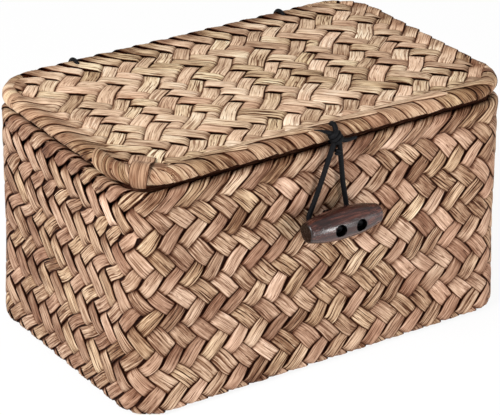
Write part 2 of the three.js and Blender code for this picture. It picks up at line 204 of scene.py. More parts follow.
# Ways that the lid's rim faces, in degrees: where slash strips wrap over it, and where no strip does
SLASH_FACING = (345, 75)
BARE_FACING = (198, 258)

# How strips leave the lid, from one facing to another: the inset where they turn, their lean, their cover
RIM_HABITS = [(62, 130, 17.0, 30.0, 0.88), (130, 236, 8.5, 60.0, 1.05)]
OTHER_HABIT = (5.0, 45.0, 1.06)

# Rows of crossings at the lid's front and back edges, from outside in, and whether slash strips pass over,
# then the rows where over and under are swapped, and the columns where the left and right ends start
EDGE_ROWS = [(-11, 10, False), (-9, 8, True), (-7, 6, False)]
TURNED_ROWS = (-6, 5)
END_COLUMNS = (-18, 19)

# Base weave
BASE_STEP = 12.6
BASE_WIDE = 4.3
BASE_WIDTHS = (0.93, 1.0)
BASE_TONE = 0.46
BASE_RING_SHARE = 1.4
BASE_SHORTEST = 10
BASE_EDGE = 9.5
BASE_Z = 1.9
BASE_LIFT = 2.2
BASE_LIFT_INSET = 13.5
BASE_LIFT_RUN = 4

# Thin dark sheets in the middle of the weaves: painted shade, which shows only in the small gaps between
# strips
LAYER_HALF = 0.12
LAYER_TONE = 0.08
LAYER_HUE = 0.5
LAYER_UNSHADED = 0.5
LAYER_SERIAL = 700.0
LAYER_STEP = 4.0
LAYER_SIDE_STEP = 3.0
LAYER_LOW = 1.0
LAYER_HIGH = 112.0
LID_LAYER_INSET = 10.0
BASE_LAYER_INSET = 10.5

# Fibres in the hoop and in the lid's core, and very dark ones inside the fold, which are painted shade in the
# gap under the lid
FIBRE_STEP = 6
FIBRE_TONE = 0.35
HOOP_FIBRES = 5
HOOP_REACH = 1.15
HOOP_FIBRE_RADIUS = 0.85
GAP_HEIGHTS = (129.6, 131.2, 132.7)
GAP_INSET = 8.6
GAP_FIBRE_RADIUS = 0.95
GAP_SHADE_TONE = 0.05
CORE_FIBRES = 7
CORE_REACH = 1.6
CORE_FIBRE_RADIUS = 0.9

# Border strips along the lid's front edge, each from its right end to its left end
BORDER_RUNS = [(118, 44), (84, 2), (38, -44), (-6, -86), (-48, -104)]
BORDER_POINTS = 42
BORDER_WIDE = 3.3
BORDER_INSET = 5.5
BORDER_SLANT = 6.0
BORDER_HEIGHT = 0.95
BORDER_SINK = 1.7
BORDER_TONE = 0.54

# Single strips wrapped round the lid's rim
BAND_POINTS = 26
BAND_SHORT = 8
BAND_SINK = 1.6
BAND_SHINGLE = 0.2

# Wraps that close the gaps at the lid's corners: which draws, how many, the corner's first station,
# the first angle past it and the step in degrees, half width, inset, height, slant, first serial number
CORNER_WRAPS = [
    (24, 7, 7, 28, 10, 2.3, 9.0, 0.2, 0.8, 600),
    (25, 7, 5, 29, 11, 3.0, 9.0, 0.3, -0.15, 620),
    (26, 6, 1, 28, 11, 3.0, 8.0, 0.2, 0.12, 660),
    (28, 4, 3, 68, 12, 3.2, 9.0, 0.2, 0.12, 680),
]
CORNER_TONE = 0.42

# Flat strip under the lid's edge
UNDER_INSET = 12.5
UNDER_WIDE = 5.5
UNDER_OVERLAP = 12
UNDER_STEP = 3.0
UNDER_HEIGHTS = (-2.3, -3.4)
# Relief of this strip, which sets painted shade on it under the lid
UNDER_RELIEF = -0.1
UNDER_TONE = 0.3

# Bundle and strap at the lid's front left corner
BUNDLE_ENDS = 20
BUNDLE_START = 18
BUNDLE_SPAN = 31
BUNDLE_WIDE = 0.75
BUNDLE_INSET = 8.0
BUNDLE_HEIGHT = (0.55, 0.3)
BUNDLE_SLANT = 0.8
BUNDLE_TONE = (0.21, 0.13)
STRAP_POINTS = 30
STRAP_START = 3
STRAP_RUN = 31
STRAP_WIDE = 5.6
STRAP_NARROWING = 1.0
STRAP_LOW = -0.5
STRAP_RISE = 2.9
STRAP_TONE = 0.52
# Painted shade where the strap rolls down over the rim
STRAP_SHADE = 0.14

# Closure, with routes from the knot
CORD_RADIUS = 1.5
CORD_STEP = 0.7
CORD_GROOVE = 0.14
CORD_LAY = 7.0
KNOT = np.array([-0.5, -81.8, 138.5])
KNOT_SIZE = 8.0
KNOT_SHIFT = [-0.8, 0, 0]
KNOT_ENDS = 0.3
KNOT_PITCH = 1.75
LEFT_TAIL = [[0, 0, 0.6], [-5, 0.8, 3.0], [-9, 2.0, 4.6], [-12.6, 3.4, 5.4]]
RIGHT_TAIL = [[0.5, 0, -1.5], [5, 0.3, -3.4], [9, 0.6, -4.0], [13.5, 1.0, -4.0]]
STOP_KNOT = [1.0, 0.2, -9.2]
STOP_KNOT_SIZE = 4.2
STOP_KNOT_RADIUS = 1.0
LASHING_ROUTE = [
    [-0.2, 0.5, 1.6], [0.1, 1.6, 3.9], [0.4, 3.4, 5.3], [0.7, 5.4, 5.3], [0.9, 7.2, 3.9], [1.0, 9.4, 1.6],
    [0.9, 11.0, -0.6], [0.7, 10.4, -3.2], [0.5, 7.0, -5.0], [0.2, 3.0, -4.8], [0, 0.6, -2.4], [0, 0, -0.4],
]
LOOP_STEP = 0.8
LOOP_ROUTE = [
    [-1.6, 0, -1.5], [-1.9, 0.2, -4], [-4.8, 0.6, -13], [-9.8, 1.3, -28], [-14.2, 1.9, -40],
    [-15.8, 2, -44.4], [-14.9, 2, -48], [-11.6, 2, -50.6], [-7.2, 2, -51.4], [-2.8, 2, -51.5],
    [2, 2, -51.3], [6.4, 2, -50], [9, 2, -46.8], [8.8, 2, -42.6], [7.6, 1.8, -37],
    [5.6, 1.3, -28], [3.3, 0.6, -13], [1.9, 0.2, -4], [1.7, 0, -1.5],
]

# Toggle and its tie
TOGGLE = np.array([-3.2, -92.8, 92.8])
TOGGLE_LENGTH = 48.0
TOGGLE_RADIUS = 8.5
TOGGLE_END = 5.8
TOGGLE_EDGE = 1.4
TOGGLE_ROUND_EDGE = 3.0
TOGGLE_CURVE = 2.5
HOLE_RADIUS = 3.5
HOLE_X = 6.7
DRILL_DEPTH = 40
TIE_RADIUS = 1.2
STRAND_Y = 9.8
NECK_X = 1.0
NECK_ROUTE = [(10, 0), (15, 0.3), (22, 0)]
HOLE_KNOT_Y = -3.6
HOLE_KNOT_SIZE = 6.4
INSIDE_KNOT_Y = 22.6
INSIDE_KNOT_SIZE = 7.5

# Hinge ties
TIE_WRAP = 5.2
HINGE_Y = 74.5
HINGE_X = 70.0
HINGE_LOW = 123.7
HINGE_STEP = 12
HINGE_KNOT_SIZE = 5.6
HINGE_KNOT_OUT = 0.4

# Camera, fitted to the edges of the box in the photo
EYE = Vector((-707.24, -1045.88, 672.14))
RIGHT = Vector((0.83061, -0.55681, 0.00784))
UP = Vector((0.23597, 0.36468, 0.90074))
FORWARD = Vector((0.50439, 0.74631, -0.43429))
FOCAL_PIXELS = 2470
IMAGE_WIDTH = 500

# Floor, sky and lights: each light's place, target, side and power
FLOOR_HALF = 6
FLOOR_DROP = 0.0002
FLOOR_COLOUR = (0.86, 0.86, 0.86, 1)
FLOOR_GLOW = 0.9
SKY_STRENGTH = 0.6
LIGHTS = {
    "key": ((-1.36, -0.30, 1.12), (0, 0, 0.08), 0.6, 34),
    "fill": ((0.80, -0.75, 0.22), (0, 0, 0.08), 0.4, 1.2),
    "front": ((0.30, -1.0, 0.18), (0, -0.09, 0.09), 0.3, 5.4),
}

camera_data = bpy.data.cameras.new("camera")
camera_data.sensor_width = 36
camera_data.lens = FOCAL_PIXELS * camera_data.sensor_width / IMAGE_WIDTH
camera_data.clip_start = 0.05
camera_data.clip_end = 50
camera = bpy.data.objects.new("camera", camera_data)
scene.collection.objects.link(camera)
camera_turn = Matrix((RIGHT, UP, -FORWARD)).transposed().to_4x4()
camera.matrix_world = Matrix.Translation(EYE * MM) @ camera_turn
scene.camera = camera


# Small helpers
def seeded(*key):
    return np.random.default_rng([SEED, *key])


def smoothstep(x, low=0.0, high=1.0):
    x = np.clip((np.asarray(x, float) - low) / (high - low), 0, 1)
    return x * x * (3 - 2 * x)


def unit(v):
    return v / np.maximum(np.linalg.norm(v, axis=-1, keepdims=True), 1e-9)


def distances(path):
    """How far along the path each of its points is."""
    return np.concatenate([[0], np.cumsum(np.linalg.norm(np.diff(path, axis=0), axis=1))])


def catmull(values, x):
    """A smooth curve through values at whole numbers."""
    values = np.asarray(values, float)
    i = np.floor(x).astype(int)
    f = x - i
    last = len(values) - 1
    p0, p1, p2, p3 = (values[np.clip(i + k, 0, last)] for k in (-1, 0, 1, 2))
    cubic = 3 * (p1 - p2) + p3 - p0
    return p1 + 0.5 * f * (p2 - p0 + f * (2 * p0 - 5 * p1 + 4 * p2 - p3 + f * cubic))


def smooth_path(points, step):
    """Points about one step apart on a smooth curve through the given ones."""
    points = np.asarray(points, float)
    fine = np.linspace(0, len(points) - 1, 40 * len(points))
    dense = np.stack([catmull(points[:, k], fine) for k in range(points.shape[1])], -1)
    along = distances(dense)
    places = np.linspace(0, along[-1], max(3, int(along[-1] / step) + 1))
    return np.stack([np.interp(places, along, dense[:, k]) for k in range(points.shape[1])], -1)


def wander(rng, along, size, wavelength):
    """A smooth random curve, mostly within -size and size."""
    steps = np.asarray(along, float) / wavelength
    values = rng.normal(0, 0.55, int(np.max(steps)) + 6)
    return size * catmull(values, steps + 1)


def columns(*parts):
    """Values for every point, side by side."""
    return np.stack(np.broadcast_arrays(*parts), -1)


# Meshes from rings of points
class Strands:
    """Collects closed strips or cords into one mesh, with the grain and tone of every point; the tone also
    carries painted shade.
    """

    def __init__(self):
        self.points, self.quads, self.caps, self.grain, self.tone = [], [], [], [], []
        self.count = 0

    def add(self, rings, grain, tone, closed=False):
        n, k, _ = rings.shape
        index = self.count + np.arange(n * k).reshape(n, k)
        a, b = (index, np.roll(index, -1, 0)) if closed else (index[:-1], index[1:])
        quads = np.stack([a, np.roll(a, -1, 1), np.roll(b, -1, 1), b], -1)
        self.quads.append(quads.reshape(-1, 4))
        if not closed:
            self.caps += [index[0].tolist(), index[-1].tolist()]
        self.points.append(rings.reshape(-1, 3))
        self.grain.append(grain.reshape(-1, 3))
        self.tone.append(tone.reshape(-1, 3))
        self.count += n * k

    def build(self, name, material, sharp=55):
        mesh = bpy.data.meshes.new(name)
        faces = np.concatenate(self.quads).tolist() + self.caps
        mesh.from_pydata((np.concatenate(self.points) * MM).tolist(), [], faces)
        grain = mesh.attributes.new("grain", "FLOAT_VECTOR", "POINT")
        grain.data.foreach_set("vector", np.concatenate(self.grain).astype(np.float32).ravel())
        tone = mesh.attributes.new("tone", "FLOAT_COLOR", "POINT")
        colour = np.ones((self.count, 4), np.float32)
        colour[:, :3] = np.concatenate(self.tone)
        tone.data.foreach_set("color", colour.ravel())
        shell = bmesh.new()
        shell.from_mesh(mesh)
        bmesh.ops.recalc_face_normals(shell, faces=shell.faces)
        shell.to_mesh(mesh)
        shell.free()
        mesh.polygons.foreach_set("use_smooth", np.ones(len(mesh.polygons), bool))
        mesh.set_sharp_from_angle(angle=math.radians(sharp))
        mesh.materials.append(material)
        piece = bpy.data.objects.new(name, mesh)
        scene.collection.objects.link(piece)
        return piece


def finish_piece(piece, body, slot, *nodes):
    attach(piece, body)
    if nodes:
        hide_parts(*nodes)
    return piece


# Materials
def add_node(tree, kind, inputs=None, **settings):
    made = tree.nodes.new(kind)
    for key, value in settings.items():
        setattr(made, key, value)
    for key, value in (inputs or {}).items():
        if isinstance(value, bpy.types.NodeSocket):
            tree.links.new(value, made.inputs[key])
        else:
            made.inputs[key].default_value = value
    return made


def attribute(tree, name, output):
    return add_node(tree, "ShaderNodeAttribute", attribute_name=name).outputs[output]


def maths(tree, operation, a, b=0.0, clamp=False):
    return add_node(tree, "ShaderNodeMath", {0: a, 1: b}, operation=operation, use_clamp=clamp).outputs[0]


def noise(tree, vector, stretch, detail=3.0, roughness=0.55):
    scaled = add_node(tree, "ShaderNodeVectorMath", {0: vector, 1: stretch}, operation="MULTIPLY")
    settings = {"Vector": scaled.outputs[0], "Scale": 1.0, "Detail": detail, "Roughness": roughness}
    return add_node(tree, "ShaderNodeTexNoise", settings).outputs["Fac"]


def span(tree, value, low, high, to_low, to_high):
    settings = {0: value, 1: low, 2: high, 3: to_low, 4: to_high}
    return add_node(tree, "ShaderNodeMapRange", settings, clamp=True).outputs[0]


def spread(tree, noisy, to_low, to_high):
    """The range that a noise mostly covers, as another range."""
    return span(tree, noisy, 0.3, 0.7, to_low, to_high)


def ramp(tree, value, stops):
    made = add_node(tree, "ShaderNodeValToRGB", {"Fac": value})
    elements = made.color_ramp.elements
    while len(elements) < len(stops):
        elements.new(0.5)
    for element, (place, colour) in zip(elements, stops):
        element.position = place
        element.color = (*colour, 1)
    return made.outputs["Color"]


def multiplied(tree, a, b):
    """One colour times another."""
    settings = {"data_type": "RGBA", "blend_type": "MULTIPLY"}
    return add_node(tree, "ShaderNodeMix", {0: 1.0, 6: a, 7: b}, **settings).outputs[2]


def set_shader(tree, shader, colour, roughness, specular, height, strength, depth):
    """Connects colour and roughness, and a bump of some strength and depth made from height."""
    settings = {"Strength": strength, "Distance": depth * MM, "Height": height}
    bump = add_node(tree, "ShaderNodeBump", settings)
    tree.links.new(colour, shader.inputs["Base Color"])
    tree.links.new(roughness, shader.inputs["Roughness"])
    tree.links.new(bump.outputs[0], shader.inputs["Normal"])
    shader.inputs["Specular IOR Level"].default_value = specular


def new_material(name):
    material = bpy.data.materials.new(name)
    material.use_nodes = True
    return material, material.node_tree, material.node_tree.nodes["Principled BSDF"]


LEAF_STOPS = [
    (0.0, (0.040, 0.013, 0.006)),
    (0.25, (0.170, 0.083, 0.048)),
    (0.5, (0.405, 0.264, 0.178)),
    (0.75, (0.685, 0.505, 0.375)),
    (1.0, (0.870, 0.750, 0.620)),
]
# Colours of the painted shade, from deepest to none, by which a strip's colour is multiplied
SHADE_STOPS = [(0.0, (0.060, 0.015, 0.005)), (0.3, (0.31, 0.20, 0.15)), (1.0, (1.0, 1.0, 1.0))]
CORD_STOPS = [(0.3, (0.0015, 0.0015, 0.002)), (0.75, (0.008, 0.008, 0.009))]
WOOD_STOPS = [(0.32, (0.005, 0.002, 0.002)), (0.5, (0.030, 0.009, 0.007)), (0.68, (0.110, 0.034, 0.022))]


def leaf_material(name, lift, gold=1.0):
    """Flattened dried leaf: long fibres, short dark dashes and blotches, with painted shade at its edges,
    dips and creases.
    """
    material, tree, shader = new_material(name)
    grain = attribute(tree, "grain", "Vector")
    tone = add_node(tree, "ShaderNodeSeparateColor", {0: attribute(tree, "tone", "Color")})
    base, hue, unshaded_share = tone.outputs[0], tone.outputs[1], tone.outputs[2]
    # Each noise is stretched along a strip, across it and from strip to strip
    streaks = noise(tree, grain, (0.06, 1.5, 3.1), 4.0, 0.6)
    fibres = noise(tree, grain, (0.14, 4.2, 3.1), 2.0)
    blotches = noise(tree, grain, (0.07, 0.16, 1.7), 3.0)
    creases = noise(tree, grain, (0.045, 1.15, 7.3), 2.0)
    dashes = noise(tree, grain, (0.13, 1.35, 5.1), 1.0)
    marked = span(tree, hue, 0.2, 0.9, 0.6, 1.0)
    streak = maths(tree, "MULTIPLY", marked, spread(tree, streaks, -0.28, 0.24))
    value = maths(tree, "ADD", base, streak)
    value = maths(tree, "ADD", value, spread(tree, fibres, -0.08, 0.08))
    value = maths(tree, "ADD", value, spread(tree, blotches, -0.10, 0.10))
    value = maths(tree, "ADD", value, lift, clamp=True)
    tints = [(0.0, (1.035, 0.955, 0.95 * gold)), (0.5, (1.0, 1.0, gold)), (1.0, (0.99, 1.01, 0.915 * gold))]
    colour = multiplied(tree, ramp(tree, value, LEAF_STOPS), ramp(tree, hue, tints))
    # Dark lines along the strip, partly painted shade in creases and partly dark fibres, and short dark
    # dashes, times the painted shade from the tone
    crease_shade_and_marks = span(tree, creases, 0.38, 0.45, 0.07, 1.0)
    crease_shade_and_marks = maths(tree, "MAXIMUM", crease_shade_and_marks, span(tree, hue, 0.3, 0.95, 0.6, 0.0))
    crease_shade_and_marks = maths(tree, "MULTIPLY", crease_shade_and_marks, span(tree, dashes, 0.30, 0.37, 0.35, 1.0))
    shade = ramp(tree, maths(tree, "MULTIPLY", crease_shade_and_marks, unshaded_share), SHADE_STOPS)
    colour = multiplied(tree, colour, shade)
    roughness = spread(tree, blotches, 0.48, 0.66)
    height = maths(tree, "ADD", streaks, maths(tree, "MULTIPLY", fibres, 0.5))
    height = maths(tree, "ADD", height, maths(tree, "MULTIPLY", crease_shade_and_marks, 0.5))
    set_shader(tree, shader, colour, roughness, 0.05, height, strength=0.5, depth=0.5)
    return material


def cord_material():
    """Black waxed cord of twisted fibres."""
    material, tree, shader = new_material("black_cord")
    fibres = noise(tree, attribute(tree, "grain", "Vector"), (0.5, 2.5, 1.0), 3.0)
    colour = ramp(tree, fibres, CORD_STOPS)
    roughness = spread(tree, fibres, 0.45, 0.65)
    set_shader(tree, shader, colour, roughness, 0.08, fibres, strength=0.5, depth=0.3)
    return material


def wood_material():
    """Dark stained and polished wood, with grain along the toggle, painted shade inside the holes, and ends
    made darker by painted shade and darker end grain.
    """
    material, tree, shader = new_material("toggle_wood")
    place = add_node(tree, "ShaderNodeTexCoord").outputs["Object"]
    grain = noise(tree, place, (45, 520, 520), 5.0, 0.65)
    pores = noise(tree, place, (160, 2600, 2600), 2.0)
    pore = span(tree, pores, 0.34, 0.42, 0.35, 1.0)
    axes = add_node(tree, "ShaderNodeSeparateXYZ", {0: place})
    from_middle = maths(tree, "ABSOLUTE", axes.outputs[0])
    across = maths(tree, "SUBTRACT", from_middle, HOLE_X * MM)
    offset = add_node(tree, "ShaderNodeCombineXYZ", {0: across, 1: axes.outputs[2]}).outputs[0]
    from_hole = add_node(tree, "ShaderNodeVectorMath", {0: offset}, operation="LENGTH").outputs["Value"]
    # Painted shade inside the holes
    painted_hole_shade = span(tree, from_hole, 1.01 * HOLE_RADIUS * MM, 1.12 * HOLE_RADIUS * MM, 0.02, 1.0)
    end_low, end_high = 0.47 * TOGGLE_LENGTH * MM, 0.499 * TOGGLE_LENGTH * MM
    # The ends drawn darker: painted shade on the end faces, with darker end grain
    end_grain_and_shade = span(tree, from_middle, end_low, end_high, 1.0, 0.1)
    dark = maths(tree, "MULTIPLY", pore, maths(tree, "MULTIPLY", painted_hole_shade, end_grain_and_shade))
    shade = add_node(tree, "ShaderNodeCombineColor", {0: dark, 1: dark, 2: dark}).outputs[0]
    colour = multiplied(tree, ramp(tree, grain, WOOD_STOPS), shade)
    roughness = spread(tree, grain, 0.18, 0.32)
    height = maths(tree, "ADD", maths(tree, "MULTIPLY", grain, 0.4), pore)
    set_shader(tree, shader, colour, roughness, 0.55, height, strength=0.25, depth=0.2)
    return material


leaf = leaf_material("leaf_strip", 0.0)
# Painted light: the lid's copy is drawn lighter than the wall's, with a more golden tint; the core's copy is
# drawn darker
leaf_lid = leaf_material("leaf_strip_lid", 0.11, 0.93)
leaf_core = leaf_material("leaf_core", -0.12)
black_cord = cord_material()
toggle_wood = wood_material()


# Plan outlines of the basket and the lid
class Outline:
    """A rectangle with rounded corners, counted anticlockwise from the left end of its front."""

    def __init__(self, radius):
        self.radius = radius
        self.half_x = LENGTH / 2 - radius
        self.half_y = WIDTH / 2 - radius
        self.quarter = math.pi / 2 * radius
        sides = [2 * self.half_x, self.quarter, 2 * self.half_y, self.quarter]
        self.stations = np.cumsum([0] + sides + sides)
        self.perimeter = self.stations[-1]
        self.angle = np.radians([-90, -90, 0, 0, 90, 90, 180, 180, 270])
        self.x = self.half_x * np.array([-1, 1, 1, 1, 1, -1, -1, -1, -1])
        self.y = self.half_y * np.array([-1, -1, -1, 1, 1, 1, 1, -1, -1])

    def __call__(self, s):
        """Middle of the corner's circle, or the foot on a straight side, and the outward direction."""
        s = np.mod(s, self.perimeter)
        x, y, angle = (np.interp(s, self.stations, values) for values in (self.x, self.y, self.angle))
        flat = np.zeros_like(angle)
        return np.stack([x, y, flat], -1), np.stack([np.cos(angle), np.sin(angle), flat], -1)

    def inset(self, x, y):
        """Distance inside the outline, and the outward direction there."""
        foot_x, foot_y = np.clip(x, -self.half_x, self.half_x), np.clip(y, -self.half_y, self.half_y)
        away = np.stack([x - foot_x, y - foot_y], -1)
        distance = np.linalg.norm(away, axis=-1)
        return self.radius - distance, away / np.maximum(distance, 1e-6)[..., None]


lid_outline = Outline(CORNER)
basket_outline = Outline(BASKET_CORNER)
rim_inset = lid_outline.inset
HALF_X = lid_outline.half_x
HALF_Y = lid_outline.half_y
QUARTER = lid_outline.quarter
PERIMETER = lid_outline.perimeter
WALL_PERIMETER = basket_outline.perimeter
WALL_STEP = WALL_PERIMETER / WALL_STRIPS
LEFT_FROM = basket_outline.stations[6]
LEFT_TO = basket_outline.stations[7]
LEFT_SIDE = (LEFT_FROM + LEFT_TEETH_INSIDE, LEFT_TO + LEFT_OUTSIDE)


# Sheets that the strips of each weave follow
def wall_drift(s, t, start):
    total = np.zeros_like(s)
    for waves, rise, phase in WALL_BENDS:
        turn = 2 * math.pi * (waves * s / WALL_PERIMETER + t / rise)
        total = total + WALL_BEND * np.sin(turn + phase + start)
    return total


def lid_drift(x, y, start):
    total = np.zeros_like(x)
    for wave_x, wave_y, phase in LID_BENDS:
        total = total + LID_BEND * np.sin(2 * math.pi * (x / wave_x + y / wave_y) + phase + start)
    return total


class Wall:
    """The sheet of the wall: s runs along the outline, t up the wall from where the base has turned up."""

    def __init__(self, top):
        turn = []
        for degrees in range(0, 91, 15):
            angle = math.radians(degrees)
            radius = BASE_ROUNDING - WALL_DEPTH
            turn.append((BASE_ROUNDING - radius * math.sin(angle), BASE_ROUNDING - radius * math.cos(angle)))
        side = []
        for z in np.arange(BASE_ROUNDING + WALL_SAMPLE, FOLD_START, WALL_SAMPLE):
            side.append((WALL_DEPTH + WAIST * smoothstep(z, BASE_ROUNDING, WAIST_START), z))
        rough = np.array(WALL_TUCK + turn + side + top)
        start = len(WALL_TUCK) + len(turn) - 1
        path = smooth_path(rough, WALL_PATH_STEP)
        nearest = np.argmin(np.linalg.norm(path - rough[start], axis=1))
        self.t = distances(path)
        self.t -= self.t[nearest]
        self.inset, self.z = path[:, 0], path[:, 1]
        slope = unit(np.gradient(path, axis=0))
        self.rise, self.lean = slope[:, 1], slope[:, 0]

    def __call__(self, uv):
        s, t = uv[..., 0], uv[..., 1]
        loose = smoothstep(t, *LOOSE_START) * (1 - smoothstep(t, *LOOSE_END))
        s, t = s + loose * wall_drift(s, t, 0.0), t + loose * wall_drift(s, t, WALL_BEND_SHIFT)
        pivot, normal = basket_outline(s)
        inset = np.interp(t, self.t, self.inset)[..., None]
        rise = np.interp(t, self.t, self.rise)[..., None]
        lean = np.interp(t, self.t, self.lean)[..., None]
        up = np.array([0, 0, 1.0])
        place = pivot + normal * (BASKET_CORNER - inset) + np.interp(t, self.t, self.z)[..., None] * up
        return place, normal * rise + up * lean


def lid_sheet(uv):
    """The sheet of the lid: flat over the panel, then rolled outwards and down round the rim."""
    x, y = uv[..., 0], uv[..., 1]
    inset, _ = rim_inset(x, y)
    loose = smoothstep(inset, *LID_LOOSE)
    x, y = x + loose * lid_drift(x, y, 0.0), y + loose * lid_drift(x, y, LID_BEND_SHIFT)
    inset, away = rim_inset(x, y)
    flat = inset >= RIM_RADIUS
    top = LID_Z + ROLL_RADIUS
    run = np.clip((inset - RIM_RADIUS) / RIM_SLOPE, 0, 1)
    z = top + (PANEL_Z - top) * run * run * (3 - 2 * run)
    slope = (PANEL_Z - top) * 6 * run * (1 - run) / RIM_SLOPE
    turn = np.where(flat, 0, (RIM_RADIUS - inset) / ROLL_RADIUS)
    reach = np.where(flat, CORNER - inset, CORNER - RIM_RADIUS + ROLL_RADIUS * np.sin(turn))
    pivot = np.stack([np.clip(x, -HALF_X, HALF_X), np.clip(y, -HALF_Y, HALF_Y)], -1)
    plan = pivot + away * reach[..., None]
    height = np.where(flat, z, LID_Z + ROLL_RADIUS * np.cos(turn))
    out = np.where(flat, slope, np.sin(turn))
    up = np.where(flat, 1.0, np.cos(turn))
    normal = unit(np.concatenate([away * out[..., None], up[..., None]], -1))
    return np.concatenate([plan, height[..., None]], -1), normal


def base_sheet(uv):
    """The sheet of the base: flat, with its edge lifted behind the ends of the wall strips."""
    inset, _ = basket_outline.inset(uv[..., 0], uv[..., 1])
    z = BASE_Z + BASE_LIFT * smoothstep(BASE_LIFT_INSET - inset, 0, BASE_LIFT_RUN)
    down = np.zeros(uv.shape[:-1] + (3,))
    down[..., 2] = -1
    return np.concatenate([uv, z[..., None]], -1), down


# Strips, whose section is in half widths from the middle
TOP_V = np.array([-1, -0.94, -0.86, -0.45, 0, 0.45, 0.86, 0.94, 1])
UNDER_V = np.array([0.6, 0.0, -0.6])
SECTION_V = np.concatenate([TOP_V, UNDER_V])
IS_TOP = np.concatenate([np.ones(len(TOP_V)), -np.ones(len(UNDER_V))])
PLEATS = len(TOP_V) - 2


def weave(m):
    """Height of a two-over two-under strip, from 1 to -1, whose first crossing over another is m = 0."""
    wave = np.cos(math.pi / 2 * (m - 0.5))
    return np.tanh(WEAVE_SHARPNESS * wave) / math.tanh(WEAVE_SHARPNESS)


def steady_lift(height, relief=1.0):
    """A lift that is the same right across a strip, with a height for each of its rings."""

    def lift(uv):
        across = np.ones(uv.shape[:-1])
        return height[:, None] * across, relief * across

    return lift


def add_strip(strands, sheet, centre, half, lift, rng, serial, bright, ridge=RIDGE, thick=THICK,
              shingle=0.0, hue=None, edge_dark=np.ones(1)):
    """One flat strip along a centre line in its sheet's coordinates.

    Lift gives its height over the sheet, and its relief: how far it lies on top, from -1 to 1, which also
    sets the painted shade where it dips under others or is hidden.
    """
    along = distances(centre)
    direction = unit(np.gradient(centre, axis=0))
    side = np.stack([direction[:, 1], -direction[:, 0]], -1)
    centre = centre + side * wander(rng, along, *SIDE_CHANGE)[:, None]
    half = half * (1 + wander(rng, along, *WIDTH_CHANGE))
    v = SECTION_V[None, :]
    uv = centre[:, None, :] + side[:, None, :] * (half[:, None] * v)[..., None]
    place, normal = sheet(uv)
    height, relief = lift(uv)
    edge = np.sqrt(np.clip(1 - 0.8 * v**8, 0, 1))
    pleat = np.zeros(len(SECTION_V))
    pleat[1 : PLEATS + 1] = rng.normal(0, ridge, PLEATS)
    pleats = pleat[None, :] * (0.7 + wander(rng, along, *PLEAT_CHANGE))[:, None]
    tilt = TILT * rng.normal() + wander(rng, along, *TILT_CHANGE) + shingle
    total = height + CROWN * (1 - v**2) + IS_TOP * thick / 2 * edge + pleats + tilt[:, None] * v
    rings = place + normal * total[..., None]
    # Painted shade at the strip's edges, where the gaps between strips lie
    rim_shade = 1 - edge_dark[:, None] * (1 - np.interp(np.abs(v), EDGE_PLACES, EDGE_SHADES))
    # Painted shade where the strip lies hidden under others
    unshaded = smoothstep(IS_TOP * relief, *HIDDEN_RELIEF) * rim_shade
    shade = bright + TONE_SPREAD * rng.normal() + wander(rng, along, *TONE_CHANGE)
    # Painted highlight a little inside the strip's edges
    painted_edge_highlight = EDGE_HIGHLIGHT * np.exp(-(((np.abs(v) - EDGE_HIGHLIGHT_PLACE) / EDGE_HIGHLIGHT_WIDTH) ** 2))
    # Painted shade where the strip dips under its neighbours
    painted_dip_shade = DIP_SHADE * (1 - smoothstep(relief, *DIP_RELIEF))
    start = GRAIN_SPREAD * rng.random()
    grain = columns(along[:, None] + start, half[:, None] * v, float(serial))
    drawn_hue = rng.random() + wander(rng, along, *HUE_CHANGE)
    hue = drawn_hue[:, None] if hue is None else hue
    tone = columns(shade[:, None] + (painted_edge_highlight - painted_dip_shade), hue, unshaded)
    strands.add(rings, grain, np.clip(tone, 0, 1))


# Walls
def wall_row(t):
    """Height up the wall, counted in rows of crossings."""
    return (t + BASE_ROUNDING - ROW_ZERO) / WALL_RISE


def left_share(s):
    """1 on the left wall and 0 on the others."""
    station = np.mod(s, WALL_PERIMETER)
    started = smoothstep(station, LEFT_FROM - LEFT_OUTSIDE, LEFT_FROM + LEFT_INSIDE)
    return started * (1 - smoothstep(station, LEFT_TO - LEFT_INSIDE, LEFT_TO + LEFT_OUTSIDE))


def wall_sway(sign, s, t):
    """How far a wall strip stands beside its straight line, which makes it steeper where it passes over."""
    narrow = NARROW_SWAY + (LEFT_SWAY - NARROW_SWAY) * left_share(s)
    reach, middle = (narrow, NARROW_MIDDLE) if sign > 0 else (WIDE_SWAY, WIDE_MIDDLE)
    return -sign * reach * np.sin(math.pi * (wall_row(t) - middle)) * (1 - smoothstep(t, *SWAY_END))


def narrow_cover(s, t, on_left):
    """Width of a right-leaning strip: pointed in each row, and toothed at the top of the left wall."""
    local = np.mod(2 * wall_row(t) + 1.5, 4) - 2
    point = POINT * smoothstep(local, 0, 1) * (1 - smoothstep(local, 1.2, 1.9))
    point = point * (1 - smoothstep(t, *POINT_END)) * (1 - left_share(s))
    teeth = TEETH * on_left * smoothstep(t, *TEETH_START) * np.clip((TEETH_TOP - t) / TEETH_TAPER, 0, 1)
    return NARROW_COVER * (1 - point) * (1 - teeth)


def wide_cover(s, t, on_left):
    """Width of a left-leaning strip, which leaves narrow slits on the left wall."""
    slit = LEFT_SLIT * left_share(s) + FOLD_SLIT * on_left * smoothstep(t, *SLIT_START)
    return WIDE_COVER * (1 - slit)


